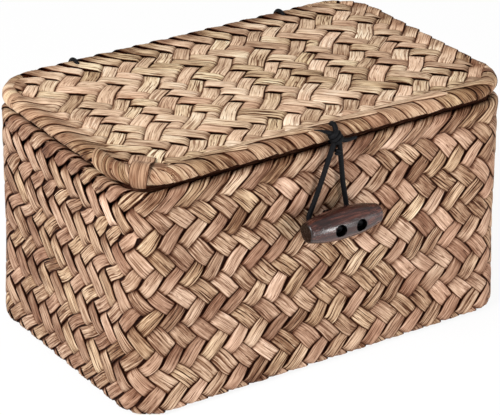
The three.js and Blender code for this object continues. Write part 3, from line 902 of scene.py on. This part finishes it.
def wall_family(name, sheet, sign, top_lift):
    """All the wall strips that lean one way: to the right for sign 1, to the left for sign -1."""
    strands = Strands()
    for index in range(WALL_STRIPS):
        rng = seeded(1 if sign > 0 else 2, index)
        t = np.arange(sheet.t[0], sheet.t[-1], RING_STEP * WALL_RING_SHARE)
        s = WALL_STEP * (index + WALL_PHASE + sign * wall_row(t))
        s = s + wall_sway(sign, s, t)
        station = np.mod(s, WALL_PERIMETER)
        on_left = (station > LEFT_SIDE[0]) & (station < LEFT_SIDE[1])
        if sign < 0 and on_left[-1]:
            s, t, on_left = (values[t < LEFT_STRIPS_END] for values in (s, t, on_left))
        spacing = WALL_STEP / np.sqrt(1 + np.gradient(s, t) ** 2)
        cover = narrow_cover if sign > 0 else wide_cover
        half = rng.uniform(*WALL_WIDTHS) * spacing / 2 * cover(s, t, on_left)

        def lift(uv, index=index):
            s, t = uv[..., 0], uv[..., 1]
            a = (s - wall_sway(-sign, s, t)) / WALL_STEP - WALL_PHASE
            b = wall_row(t)
            swing = sign * weave(a + b - index if sign > 0 else index - a + b)
            fade = smoothstep(t, *WEAVE_END)
            # Painted shade on left-leaning strips where they pass under the fold
            shown = 1.0 if sign > 0 else UNDER_FOLD_RELIEF
            return SWING * swing * (1 - fade) + fade * top_lift, swing * (1 - fade) + fade * shown

        folded = smoothstep(t, *FOLD_TURN)
        # Painted shade on the fold, under the lid's edge
        bright = WALL_TONE - FOLD_SHADE * folded
        shingle = FOLD_SHINGLE * folded * (sign > 0)
        add_strip(strands, sheet, np.stack([s, t], -1), half, lift, rng, index, bright, shingle=shingle)
    return strands.build(name, leaf)


def fold_points():
    """Inset and height along the fold: up to the hoop, over it and down the inside."""
    points = []
    for rise in np.linspace(0, 1, 5):
        inset = TOP_INSET + (FOLD_INSET - FOLD_RADIUS - TOP_INSET) * float(smoothstep(rise))
        points.append((inset, FOLD_START + (FOLD_Z - FOLD_START) * rise))
    for degrees in range(20, 181, 20):
        angle = math.radians(degrees)
        points.append((FOLD_INSET - FOLD_RADIUS * math.cos(angle), FOLD_Z + FOLD_RADIUS * math.sin(angle)))
    return points + FOLD_TUCK


folded_wall = Wall(fold_points())
plain_wall = Wall(PLAIN_TOP)
wall_right = wall_family("basket_strips_right", folded_wall, 1, 0.0)
finish_piece(wall_right, "basket", "leaf_strip", "basket_shell", "basket_rim_fold")
wall_left = wall_family("basket_strips_left", plain_wall, -1, UNDER_FOLD_HEIGHT)
finish_piece(wall_left, "basket", "leaf_strip")


# Flat weaves: the lid and the base
def slash_over(column, row):
    """True where the lid strip that leans like a slash passes over the other at their crossing."""
    for front, back, over in EDGE_ROWS:
        if row <= front or row >= back:
            return over
    if column <= END_COLUMNS[0] or column >= END_COLUMNS[1]:
        return column > 0
    return (column % 4 in (3, 0)) != (row in TURNED_ROWS)


def base_over(column, row):
    return row % 4 in (0, 1)


class Crossings:
    """Height of one strip of a flat weave, from which of its crossings lie on top."""

    def __init__(self, index, sign, over):
        signs = []
        for other in range(-CROSSING_REACH, CROSSING_REACH + 1):
            i, j = (index, other) if sign > 0 else (other, index)
            signs.append((1 if over(i + j, j - i) else -1) * sign)
        values = []
        for here, after in zip(signs, signs[1:] + signs[-1:]):
            values += [0.9 * here, 0.5 * (here + after)]
        self.values = np.array(values)

    def __call__(self, other):
        height = catmull(self.values, 2 * (other + CROSSING_REACH))
        return np.tanh(FLAT_SHARPNESS * height) / math.tanh(FLAT_SHARPNESS)


def diagonal(sign):
    """Direction of the strips that lean one way, and the way across in which they are counted."""
    direction = unit(np.array([1.0, sign]))
    return direction, sign * np.array([direction[1], -direction[0]])


def long_line(middle, direction):
    return middle[None] + np.arange(-LINE_REACH, LINE_REACH, LINE_STEP)[:, None] * direction[None]


def straight(first, last, step):
    """Points on a straight line, about one step apart."""
    count = int(np.linalg.norm(last - first) / step) + 2
    return first[None] + np.linspace(0, 1, count)[:, None] * (last - first)[None]


def slash_folds(angle):
    """True where the slash strips wrap over the lid's rim, by the way the rim faces there."""
    return angle % 360 > SLASH_FACING[0] or angle % 360 < SLASH_FACING[1]


def bare_rim(angle):
    """True at the front left corner, where the bundle and the strap cover the rim instead of lid strips."""
    return BARE_FACING[0] < angle % 360 < BARE_FACING[1]


def rim_habit(angle):
    """How strips leave the lid there: the inset where they turn, their lean and their cover."""
    for first, last, *habit in RIM_HABITS:
        if first <= angle % 360 < last:
            return habit
    return OTHER_HABIT


def rim_fade(left):
    """From 0 on the panel to 1 at the rim, by the inset left."""
    return smoothstep(RIM_FADE_INSET - left, 0, RIM_FADE)


def corner_spread(point, left):
    """How much wider a strip is drawn round a corner than on a straight side, to stay as wide there."""
    if abs(point[0]) < HALF_X or abs(point[1]) < HALF_Y:
        return 1.0
    return max(1.0, (CORNER - left) / (CORNER - RIM_RADIUS))


def rim_end(place, heading, away, angle, folds):
    """Points and half widths of the end of a lid strip, over the rim or tucked under its wraps."""
    start, lean, cover = rim_habit(angle)
    spacing = LID_STEP / math.sqrt(2) / max(float(heading @ away), 0.35)
    reach = ROLL_RADIUS * math.radians(ROLL_TURN) if folds else TUCK_REACH
    point, way = place, heading
    points, sizes = [], []
    gone = -start
    while gone < reach and len(points) < END_MOST_POINTS:
        if folds:
            along_rim = way - away * float(way @ away)
            aim = math.cos(math.radians(lean)) * away + math.sin(math.radians(lean)) * unit(along_rim)
            way = unit((1 - TURN_RATE) * way + TURN_RATE * aim)
        point = point + way * RING_STEP * END_STEP_SHARE
        left, away = rim_inset(point[0], point[1])
        left = float(left)
        gone = RIM_RADIUS - left
        points.append(point)
        full = 0.5 * cover * spacing * max(float(way @ away), 0.3) * corner_spread(point, left)
        turned = float(smoothstep(start - left, 0, max(start - RIM_RADIUS, 4)))
        sizes.append(LID_WIDE + (full - LID_WIDE) * turned if folds else TUCK_COVER * LID_WIDE)
    return np.array(points), np.array(sizes)


def lid_family(name, sign):
    """All the lid strips that lean one way: like a slash for sign 1, like a backslash for sign -1."""
    strands = Strands()
    direction, across = diagonal(sign)
    rise = LID_SLASH_RISE if sign > 0 else LID_BACK_RISE
    thick = THICK if sign > 0 else LID_BACK_THICK
    for index in range(-FLAT_STRIPS, FLAT_STRIPS + 1):
        rng = seeded(3 if sign > 0 else 4, index + 100)
        middle = np.array([LID_X, LID_Y]) + across * index * LID_STEP / math.sqrt(2)
        crossing = Crossings(index, sign, slash_over)
        line = long_line(middle, direction)
        inset, away = rim_inset(line[:, 0], line[:, 1])
        inside = np.where(inset > RIM_RADIUS)[0]
        if len(inside) * LINE_STEP < LID_SHORTEST:
            continue
        ends, widths, wraps, places = [], [], [], []
        for which, heading in ((0, -direction), (-1, direction)):
            outward = away[inside[which]]
            angle = math.degrees(math.atan2(outward[1], outward[0]))
            meets_rim = float(heading @ outward) > LEAST_OUTWARD
            folds = slash_folds(angle) == (sign > 0) and meets_rim and not bare_rim(angle)
            start = rim_habit(angle)[0] if folds else RIM_RADIUS
            deep = np.where(inset > start)[0]
            place = line[deep[which] if len(deep) else inside[which]]
            points, sizes = rim_end(place, heading, outward, angle, folds)
            ends.append(points)
            widths.append(sizes)
            wraps.append(float(folds))
            places.append(place)
        body = straight(*places, RING_STEP)
        count = len(body)
        centre = np.concatenate([ends[0][::-1], body, ends[1]])
        half = np.concatenate([widths[0][::-1], np.full(count, LID_WIDE), widths[1]])
        half = rng.uniform(*LID_WIDTHS) * half
        mark = np.repeat(wraps, [len(ends[0]) + count // 2, count - count // 2 + len(ends[1])])
        left, _ = rim_inset(centre[:, 0], centre[:, 1])
        wrapped = mark * rim_fade(left)

        def lift(uv, crossing=crossing, mark=mark):
            x, y = uv[..., 0], uv[..., 1]
            left, _ = rim_inset(x, y)
            fade = rim_fade(left)
            over_rim = mark[:, None] > 0.5
            at_left_end = x < SEAM_REACH - LENGTH / 2
            seam = np.exp(-(((left - SEAM_INSET) / SEAM_WIDTH) ** 2)) * at_left_end * over_rim
            swing = crossing(((x - LID_X) + sign * (y - LID_Y)) / LID_STEP)
            height = rise * swing * (1 - fade) + fade * np.where(over_rim, WRAP_HEIGHT, TUCK_HEIGHT)
            # Painted shade on ends tucked under the wraps, through their relief
            relief = swing * (1 - fade) + fade * np.where(over_rim, 1.0, TUCK_RELIEF)
            # Painted shade in the seam's valley, through a lower relief
            return height - 0.5 * seam, relief - 0.8 * seam

        # Painted shade where the strip wraps round the rim
        bright = LID_TONE - WRAP_SHADE * wrapped
        shingle = WRAP_SHINGLE * wrapped
        # Painted edge shade: weaker on the lid's panel, full on the wraps
        edge_dark = LID_EDGE_DARK + (1 - LID_EDGE_DARK) * wrapped
        serial = SERIALS["lid"] + index
        add_strip(strands, lid_sheet, centre, half, lift, rng, serial, bright, thick=thick,
                  shingle=shingle, edge_dark=edge_dark)
    return strands.build(name, leaf_lid)


lid_slash = lid_family("lid_strips_right", 1)
finish_piece(lid_slash, "lid", "leaf_strip_lid", "lid_panel")
lid_back = lid_family("lid_strips_left", -1)
finish_piece(lid_back, "lid", "leaf_strip_lid", "lid_rim_wrap")


def base_family(name, sign):
    """All the base strips that lean one way."""
    strands = Strands()
    direction, across = diagonal(sign)
    for index in range(-FLAT_STRIPS, FLAT_STRIPS + 1):
        rng = seeded(5 if sign > 0 else 6, index + 100)
        line = long_line(across * index * BASE_STEP / math.sqrt(2), direction)
        inset, _ = basket_outline.inset(line[:, 0], line[:, 1])
        inside = np.where(inset > BASE_EDGE)[0]
        if len(inside) * LINE_STEP < BASE_SHORTEST:
            continue
        centre = straight(line[inside[0]], line[inside[-1]], BASE_RING_SHARE * RING_STEP)
        crossing = Crossings(index, sign, base_over)

        def lift(uv, crossing=crossing):
            swing = crossing((uv[..., 0] + sign * uv[..., 1]) / BASE_STEP)
            return SWING * swing, swing

        half = BASE_WIDE * rng.uniform(*BASE_WIDTHS) * np.ones(len(centre))
        add_strip(strands, base_sheet, centre, half, lift, rng, SERIALS["base"] + index, BASE_TONE)
    return strands.build(name, leaf)


finish_piece(base_family("base_strips_right", 1), "basket", "leaf_strip")
finish_piece(base_family("base_strips_left", -1), "basket", "leaf_strip")


# Dark sheets of painted shade inside the weaves
def shade_layer(name, sheet, uv, body, closed=False):
    """A closed dark sheet over rows of points, which are in the coordinates of a weave's own sheet; it is
    painted shade in the gaps between strips.
    """
    place, normal = sheet(uv)
    rings = np.concatenate([place + LAYER_HALF * normal, (place - LAYER_HALF * normal)[:, ::-1]], 1)
    plan = np.concatenate([uv, uv[:, ::-1]], 1)
    grain = np.concatenate([plan, np.full(plan.shape[:2] + (1,), LAYER_SERIAL)], -1)
    tone = np.broadcast_to([LAYER_TONE, LAYER_HUE, LAYER_UNSHADED], rings.shape)
    layer = Strands()
    layer.add(rings, grain, tone, closed)
    finish_piece(layer.build(name, leaf_core), body, "leaf_core")


def plan_grid(outline, inset):
    """Rows of points across the plan of an outline, up to some distance inside it."""
    end = LENGTH / 2 - inset
    x = np.linspace(-end, end, int(2 * end / LAYER_STEP))
    round_corner = np.maximum(outline.radius - inset, 1.0)
    past = np.clip(np.abs(x) - (end - round_corner), 0, 0.98 * round_corner)
    reach = WIDTH / 2 - inset - round_corner + np.sqrt(round_corner**2 - past**2)
    across = np.linspace(-1, 1, int(WIDTH / LAYER_STEP))
    return columns(x[:, None], reach[:, None] * across[None])


layer_s = np.arange(0, WALL_PERIMETER, LAYER_SIDE_STEP)
layer_t = np.arange(LAYER_LOW, LAYER_HIGH, LAYER_STEP)
wall_grid = np.stack(np.meshgrid(layer_s, layer_t, indexing="ij"), -1)
shade_layer("basket_shade_layer", plain_wall, wall_grid, "basket", True)
shade_layer("lid_shade_layer", lid_sheet, plan_grid(lid_outline, LID_LAYER_INSET), "lid")
shade_layer("base_shade_layer", base_sheet, plan_grid(basket_outline, BASE_LAYER_INSET), "basket")


# Cords and fibres as twisted tubes
def add_cord(strands, path, radius, rng, serial, lobes=3, lay=CORD_LAY, sides=15, bright=0.4, taper=0.0,
             thin=0.0):
    """A twisted cord with one lobe for each strand. Taper narrows both ends, thin draws out the far one."""
    path = np.asarray(path, float)
    along = distances(path)
    tangent = unit(np.gradient(path, axis=0))
    side = np.zeros_like(path)
    guide = np.cross(tangent[0], [0.31, 0.77, 0.55])
    for k in range(len(path)):
        guide = guide - tangent[k] * (guide @ tangent[k])
        guide = guide / np.linalg.norm(guide)
        side[k] = guide
    other = np.cross(tangent, side)
    angle = np.linspace(0, 2 * math.pi, sides, endpoint=False)[None, :]
    twist = angle + 2 * math.pi * along[:, None] / lay
    bulge = 1 - CORD_GROOVE + CORD_GROOVE * np.abs(np.cos(lobes / 2 * twist))
    end = np.minimum(along, along[-1] - along)
    blunt = 1 - taper * (1 - smoothstep(end, 0, 2.2 * radius))
    size = radius * (blunt * (1 - thin * smoothstep(along / along[-1], 0.2, 1.0)))[:, None] * bulge
    spoke = np.cos(angle)[..., None] * side[:, None, :] + np.sin(angle)[..., None] * other[:, None, :]
    rings = path[:, None, :] + size[..., None] * spoke
    start = 100 * rng.random()
    grain = columns(along[:, None] + start, radius * twist, float(serial))
    # Painted shade in the grooves between the cord's strands
    unshaded = 0.4 + 0.6 * (bulge - 1 + CORD_GROOVE) / CORD_GROOVE
    tone = columns(bright + 0.1 * rng.normal(), rng.random(), unshaded)
    strands.add(rings, grain, np.clip(tone, 0, 1))


def add_fibre(strands, outline, inset, z, radius, rng, serial, bright=FIBRE_TONE):
    """One fibre right round an outline."""
    pivot, normal = outline(np.arange(0, outline.perimeter, FIBRE_STEP))
    path = pivot + normal * (outline.radius - inset)
    path[:, 2] = z
    path = np.concatenate([path, path[:1]])
    add_cord(strands, path, radius, rng, serial, lobes=2, lay=40, sides=8, bright=bright)


rng = seeded(20)
hoop = Strands()
for k in range(HOOP_FIBRES):
    turn = 2 * math.pi * k / HOOP_FIBRES
    inset, z = FOLD_INSET + HOOP_REACH * math.cos(turn), FOLD_Z + HOOP_REACH * math.sin(turn)
    add_fibre(hoop, basket_outline, inset, z, HOOP_FIBRE_RADIUS, rng, k)
# Very dark fibres that fill the gap under the lid with painted shade
for k, z in enumerate(GAP_HEIGHTS):
    add_fibre(hoop, basket_outline, GAP_INSET, z, GAP_FIBRE_RADIUS, rng, HOOP_FIBRES + k, GAP_SHADE_TONE)
finish_piece(hoop.build("basket_hoop_fibres", leaf_core), "basket", "leaf_core", "basket_rim_hoop")
core = Strands()
for k in range(CORE_FIBRES):
    turn = 2 * math.pi * k / CORE_FIBRES
    reach = 0.0 if k == CORE_FIBRES - 1 else CORE_REACH
    inset, z = RIM_RADIUS + reach * math.cos(turn), LID_Z + reach * math.sin(turn)
    add_fibre(core, lid_outline, inset, z, CORE_FIBRE_RADIUS, rng, k)
finish_piece(core.build("lid_core_fibres", leaf_core), "lid", "leaf_core", "lid_rim_core")

# Front edge of the lid: long strips that run along the rim and shingle over each other
border = Strands()
for k, (right_x, left_x) in enumerate(BORDER_RUNS):
    run = np.linspace(0, 1, BORDER_POINTS)
    inset = BORDER_INSET + BORDER_SLANT * smoothstep(run)
    centre = np.stack([np.linspace(right_x, left_x, BORDER_POINTS), -WIDTH / 2 + inset], -1)
    half = BORDER_WIDE * smoothstep(np.minimum(0.6 * run, 1 - run), -0.02, 0.08)
    height = BORDER_HEIGHT - BORDER_SINK * smoothstep(run, 0.86, 1.0)
    height = height - BORDER_SINK * (1 - smoothstep(run, 0, 0.14))
    lift = steady_lift(height)
    rng = seeded(21, k)
    serial = SERIALS["border"] + k
    add_strip(border, lid_sheet, centre, half, lift, rng, serial, BORDER_TONE, shingle=BAND_SHINGLE)
finish_piece(border.build("lid_border_strips", leaf_lid), "lid", "leaf_strip_lid")


def rim_band(strands, s, wide, start, raised, slant, rng, serial, bright):
    """A strip that wraps round the lid's rim at place s of the outline. Slant moves it along the rim."""
    end = RIM_RADIUS - ROLL_RADIUS * math.radians(ROLL_TURN - BAND_SHORT)
    left = np.linspace(start, end, BAND_POINTS)
    pivot, normal = lid_outline(s + slant * (start - left))
    centre = (pivot + normal * (CORNER - left)[:, None])[:, :2]
    half = np.array([wide * corner_spread(point, gap) for point, gap in zip(centre, left)])
    run = np.linspace(0, 1, BAND_POINTS)
    lift = steady_lift(raised - BAND_SINK * (1 - smoothstep(run, 0, 0.16)))
    add_strip(strands, lid_sheet, centre, half, lift, rng, serial, bright, shingle=BAND_SHINGLE)


# Corners of the lid where single strips close the gaps between the two ways of wrapping
corner_wraps = Strands()
for draws, count, station, first, step, wide, start, raised, slant, serial in CORNER_WRAPS:
    for k in range(count):
        s = lid_outline.stations[station] + QUARTER * (first + step * k) / 90
        rim_band(corner_wraps, s, wide, start, raised, slant, seeded(draws, k), serial + k, CORNER_TONE)
finish_piece(corner_wraps.build("lid_corner_wraps", leaf_lid), "lid", "leaf_strip_lid")

# Under the lid: a flat strip along the whole edge, which closes the small gaps between the wraps
edge_strip = Strands()
pivot, normal = lid_outline(np.arange(0, PERIMETER + UNDER_OVERLAP, UNDER_STEP))
centre = (pivot + normal * (CORNER - UNDER_INSET))[:, :2]
half = UNDER_WIDE * np.ones(len(centre))
# The strip's low relief gives it painted shade under the lid
lift = steady_lift(np.linspace(*UNDER_HEIGHTS, len(centre)), UNDER_RELIEF)
add_strip(edge_strip, lid_sheet, centre, half, lift, seeded(27), SERIALS["under"], UNDER_TONE, ridge=0.03)
finish_piece(edge_strip.build("lid_edge_strip", leaf_core), "lid", "leaf_core")

# Front left corner of the lid: tucked ends in a bundle, and the strip that ties them down
bundle = Strands()
for k in range(BUNDLE_ENDS):
    rng = seeded(22, k)
    s = PERIMETER - QUARTER - BUNDLE_START + BUNDLE_SPAN * k / (BUNDLE_ENDS - 1)
    raised = BUNDLE_HEIGHT[0] + BUNDLE_HEIGHT[1] * rng.normal()
    bright = BUNDLE_TONE[0] + BUNDLE_TONE[1] * rng.normal()
    serial = SERIALS["bundle"] + k
    rim_band(bundle, s, BUNDLE_WIDE, BUNDLE_INSET, raised, BUNDLE_SLANT, rng, serial, bright)
finish_piece(bundle.build("lid_bundle_ends", leaf_lid), "lid", "leaf_core", "lid_corner_bundle")

strap = Strands()
corner_way = unit(np.array([-1.0, -1.0]))
run = np.linspace(0, 1, STRAP_POINTS)
centre = np.array([-HALF_X, -HALF_Y]) + (STRAP_START + STRAP_RUN * run)[:, None] * corner_way[None]
half = STRAP_WIDE - STRAP_NARROWING * run
lift = steady_lift(STRAP_LOW + STRAP_RISE * smoothstep(run, 0.02, 0.3))
# Painted shade towards the strap's lower end, where it rolls over the rim
bright = STRAP_TONE - STRAP_SHADE * smoothstep(run, 0.45, 0.9)
add_strip(strap, lid_sheet, centre, half, lift, seeded(23), SERIALS["strap"], bright, ridge=0.02, hue=0.2)
finish_piece(strap.build("lid_corner_strap_strip", leaf_lid), "lid", "leaf_strip_lid", "lid_corner_strap")


# Closure cord: lashing, knot and tails on the lid
def add_knot(strands, middle, size, radius, rng, axis, turns, flat=1.0):
    """A knot as a few turns of its cord, wound round an axis and drawn tight."""
    axis = unit(np.array(axis, float))
    first = unit(np.cross(axis, [0.0, 1.0, 0.0]))
    second = np.cross(axis, first)
    turn = np.linspace(0, turns, int(30 * turns))
    wide = size / 2 - radius
    run = KNOT_PITCH * radius * (turn - turns / 2)
    path = (
        np.array(middle)[None]
        + run[:, None] * axis[None]
        + (wide * np.cos(2 * math.pi * turn))[:, None] * first[None]
        + (flat * wide * np.sin(2 * math.pi * turn))[:, None] * second[None]
    )
    add_cord(strands, path, radius, rng, 5, taper=KNOT_ENDS)


lashing = Strands()
rng = seeded(30)
for serial, (route, thin) in enumerate(((LASHING_ROUTE, 0.0), (LEFT_TAIL, 0.8), (RIGHT_TAIL, 0.35))):
    path = smooth_path(KNOT + np.array(route), CORD_STEP)
    add_cord(lashing, path, CORD_RADIUS, rng, serial, thin=thin)
knot_middle = KNOT + np.array(KNOT_SHIFT)
add_knot(lashing, knot_middle, KNOT_SIZE, CORD_RADIUS, rng, axis=(-0.5, 0.0, 0.87), turns=2.4, flat=0.6)
finish_piece(lashing.build("loop_lashing_cord", black_cord), "lid", "black_cord", "loop_lashing")

# Closure loop: one cord from the knot round the back of the toggle and up again
loop_path = smooth_path(KNOT[None] + np.array(LOOP_ROUTE, float), LOOP_STEP)
loop = Strands()
add_cord(loop, loop_path, CORD_RADIUS, seeded(31), 0)
loop = finish_piece(loop.build("closure_loop_cord", black_cord), "loop", "black_cord", "closure_loop")
stop = Strands()
rng = seeded(34)
stop_middle = KNOT + np.array(STOP_KNOT)
add_knot(stop, stop_middle, STOP_KNOT_SIZE, STOP_KNOT_RADIUS, rng, axis=(0.5, 0, 1), turns=1.6)
finish_piece(stop.build("loop_stop_knot", black_cord), "loop", "black_cord")


# Toggle: a turned barrel with two holes through it
def lathe_x(name, outline_points, sides):
    """A closed solid turned round the x axis, from places along it and radii."""
    rings = []
    angle = np.linspace(0, 2 * math.pi, sides, endpoint=False)
    for x, radius in outline_points:
        rings.append(np.stack([np.full(sides, x), radius * np.cos(angle), radius * np.sin(angle)], -1))
    made = Strands()
    rings = np.array(rings)
    made.add(rings, np.zeros_like(rings), np.zeros_like(rings))
    return made.build(name, toggle_wood, sharp=40)


def barrel_end(edge):
    """Half an outline, from the middle of an end to the barrel's widest place."""
    half = TOGGLE_LENGTH / 2
    points = [(half, 0.4), (half, TOGGLE_END - edge)]
    for degrees in range(10, 91, 10):
        angle = math.radians(degrees)
        points.append((half - edge * (1 - math.cos(angle)), TOGGLE_END - edge * (1 - math.sin(angle))))
    for share in np.linspace(0.97, 0, 22):
        swell = (TOGGLE_RADIUS - TOGGLE_END) * (1 - share**TOGGLE_CURVE)
        points.append((share * (half - edge), TOGGLE_END + swell))
    return points


def drill_hole(piece, x):
    """Cuts one hole through a piece along y."""
    drill_data = bpy.data.meshes.new("drill")
    drill = bmesh.new()
    radius = HOLE_RADIUS * MM
    bmesh.ops.create_cone(
        drill, cap_ends=True, segments=40, radius1=radius, radius2=radius, depth=DRILL_DEPTH * MM,
        matrix=Matrix.Rotation(math.pi / 2, 4, "X"),
    )
    drill.to_mesh(drill_data)
    drill.free()
    cutter = bpy.data.objects.new("drill", drill_data)
    cutter.location = (x * MM, 0, 0)
    scene.collection.objects.link(cutter)
    cut = piece.modifiers.new("hole", "BOOLEAN")
    cut.object = cutter
    cut.operation = "DIFFERENCE"
    bpy.context.view_layer.update()
    depsgraph = bpy.context.evaluated_depsgraph_get()
    drilled = bpy.data.meshes.new_from_object(piece.evaluated_get(depsgraph))
    piece.modifiers.remove(cut)
    piece.data = drilled
    bpy.data.objects.remove(cutter)


barrel = [(-x, radius) for x, radius in barrel_end(TOGGLE_EDGE)]
barrel += barrel_end(TOGGLE_ROUND_EDGE)[-2::-1]
toggle = lathe_x("toggle_barrel", barrel, sides=72)
for side in (-1, 1):
    drill_hole(toggle, side * HOLE_X)
toggle.location = Vector(TOGGLE) * MM
finish_piece(toggle, "toggle", "toggle_wood", "toggle")

# Toggle tie: a stop knot in each hole, strands behind the toggle and a neck through the wall to a knot inside
tie = Strands()
rng = seeded(32)
strand = [[HOLE_X, -2, 0], [HOLE_X, 4, 0], [HOLE_X - 0.8, STRAND_Y - 0.7, 0], [HOLE_X - 2.8, STRAND_Y, 0]]
strand = [[-x, y, z] for x, y, z in strand] + [[0, STRAND_Y, 0]] + strand[::-1]
add_cord(tie, smooth_path(TOGGLE + np.array(strand, float), CORD_STEP), TIE_RADIUS, rng, 0)
for side in (-1, 1):
    neck = np.array([[side * NECK_X, y, z] for y, z in NECK_ROUTE])
    add_cord(tie, smooth_path(TOGGLE + neck, CORD_STEP), TIE_RADIUS, rng, 1)
    hole_knot = TOGGLE + np.array([side * HOLE_X, HOLE_KNOT_Y, 0])
    add_knot(tie, hole_knot, HOLE_KNOT_SIZE, TIE_RADIUS, rng, axis=(0.3, 1, 0.5), turns=1.4)
inside_knot = TOGGLE + np.array([0, INSIDE_KNOT_Y, 0])
add_knot(tie, inside_knot, INSIDE_KNOT_SIZE, TIE_RADIUS, rng, axis=(1, 0.1, 0.4), turns=2.4)
finish_piece(tie.build("toggle_tie_cord", black_cord), "toggle", "black_cord", "toggle_tie")

# Hinge ties at the back: a cord through the wall and round the lid's rim, knotted outside
for label, x in (("left", -HINGE_X), ("right", HINGE_X)):
    rng = seeded(33, int(x) + 100)
    made = Strands()
    knot_z = (LID_Z + HINGE_LOW) / 2
    points = [(x, HINGE_Y + TIE_WRAP, knot_z)]
    for middle, first in ((LID_Z, 0), (HINGE_LOW, 180)):
        for degrees in range(first, first + 181, HINGE_STEP):
            angle = math.radians(degrees)
            across, up = TIE_WRAP * math.cos(angle), TIE_WRAP * math.sin(angle)
            points.append((x, HINGE_Y + across, middle + up))
    points.append((x, HINGE_Y + TIE_WRAP, knot_z))
    add_cord(made, smooth_path(points, LOOP_STEP), TIE_RADIUS, rng, 0)
    knot_place = (x, HINGE_Y + TIE_WRAP + HINGE_KNOT_OUT, knot_z)
    add_knot(made, knot_place, HINGE_KNOT_SIZE, TIE_RADIUS, rng, axis=(1, 0, 0.5), turns=1.8)
    made = made.build("hinge_tie_cord_" + label, black_cord)
    finish_piece(made, "basket", "black_cord", "hinge_tie_" + label)

# Floor, light and background
floor_mesh = bpy.data.meshes.new("floor")
floor_corners = [(x * FLOOR_HALF, y * FLOOR_HALF, 0) for x, y in ((-1, -1), (1, -1), (1, 1), (-1, 1))]
floor_mesh.from_pydata(floor_corners, [], [(0, 1, 2, 3)])
floor = bpy.data.objects.new("floor", floor_mesh)
floor.location.z = -FLOOR_DROP
scene.collection.objects.link(floor)
floor_material, tree, shader = new_material("floor")
shader.inputs["Base Color"].default_value = FLOOR_COLOUR
shader.inputs["Roughness"].default_value = 0.8
rays = add_node(tree, "ShaderNodeLightPath")
white = add_node(tree, "ShaderNodeEmission", {"Color": (1, 1, 1, 1), "Strength": 1.0})
share = maths(tree, "MULTIPLY", rays.outputs["Is Camera Ray"], FLOOR_GLOW)
mixed = add_node(tree, "ShaderNodeMixShader", {0: share, 1: shader.outputs[0], 2: white.outputs[0]})
tree.links.new(mixed.outputs[0], tree.nodes["Material Output"].inputs["Surface"])
floor_mesh.materials.append(floor_material)

world = bpy.data.worlds.new("world")
scene.world = world
world.use_nodes = True
tree = world.node_tree
background = tree.nodes["Background"]
background.inputs["Color"].default_value = (1, 1, 1, 1)
rays = add_node(tree, "ShaderNodeLightPath")
strength = span(tree, rays.outputs["Is Camera Ray"], 0, 1, SKY_STRENGTH, 1.0)
tree.links.new(strength, background.inputs["Strength"])

for name, (place, target, side, power) in LIGHTS.items():
    data = bpy.data.lights.new(name, "AREA")
    data.shape = "RECTANGLE"
    data.size = side
    data.size_y = side
    data.energy = power
    lamp = bpy.data.objects.new(name, data)
    lamp.location = place
    lamp.rotation_mode = "QUATERNION"
    lamp.rotation_quaternion = (Vector(target) - Vector(place)).to_track_quat("-Z", "Y")
    scene.collection.objects.link(lamp)
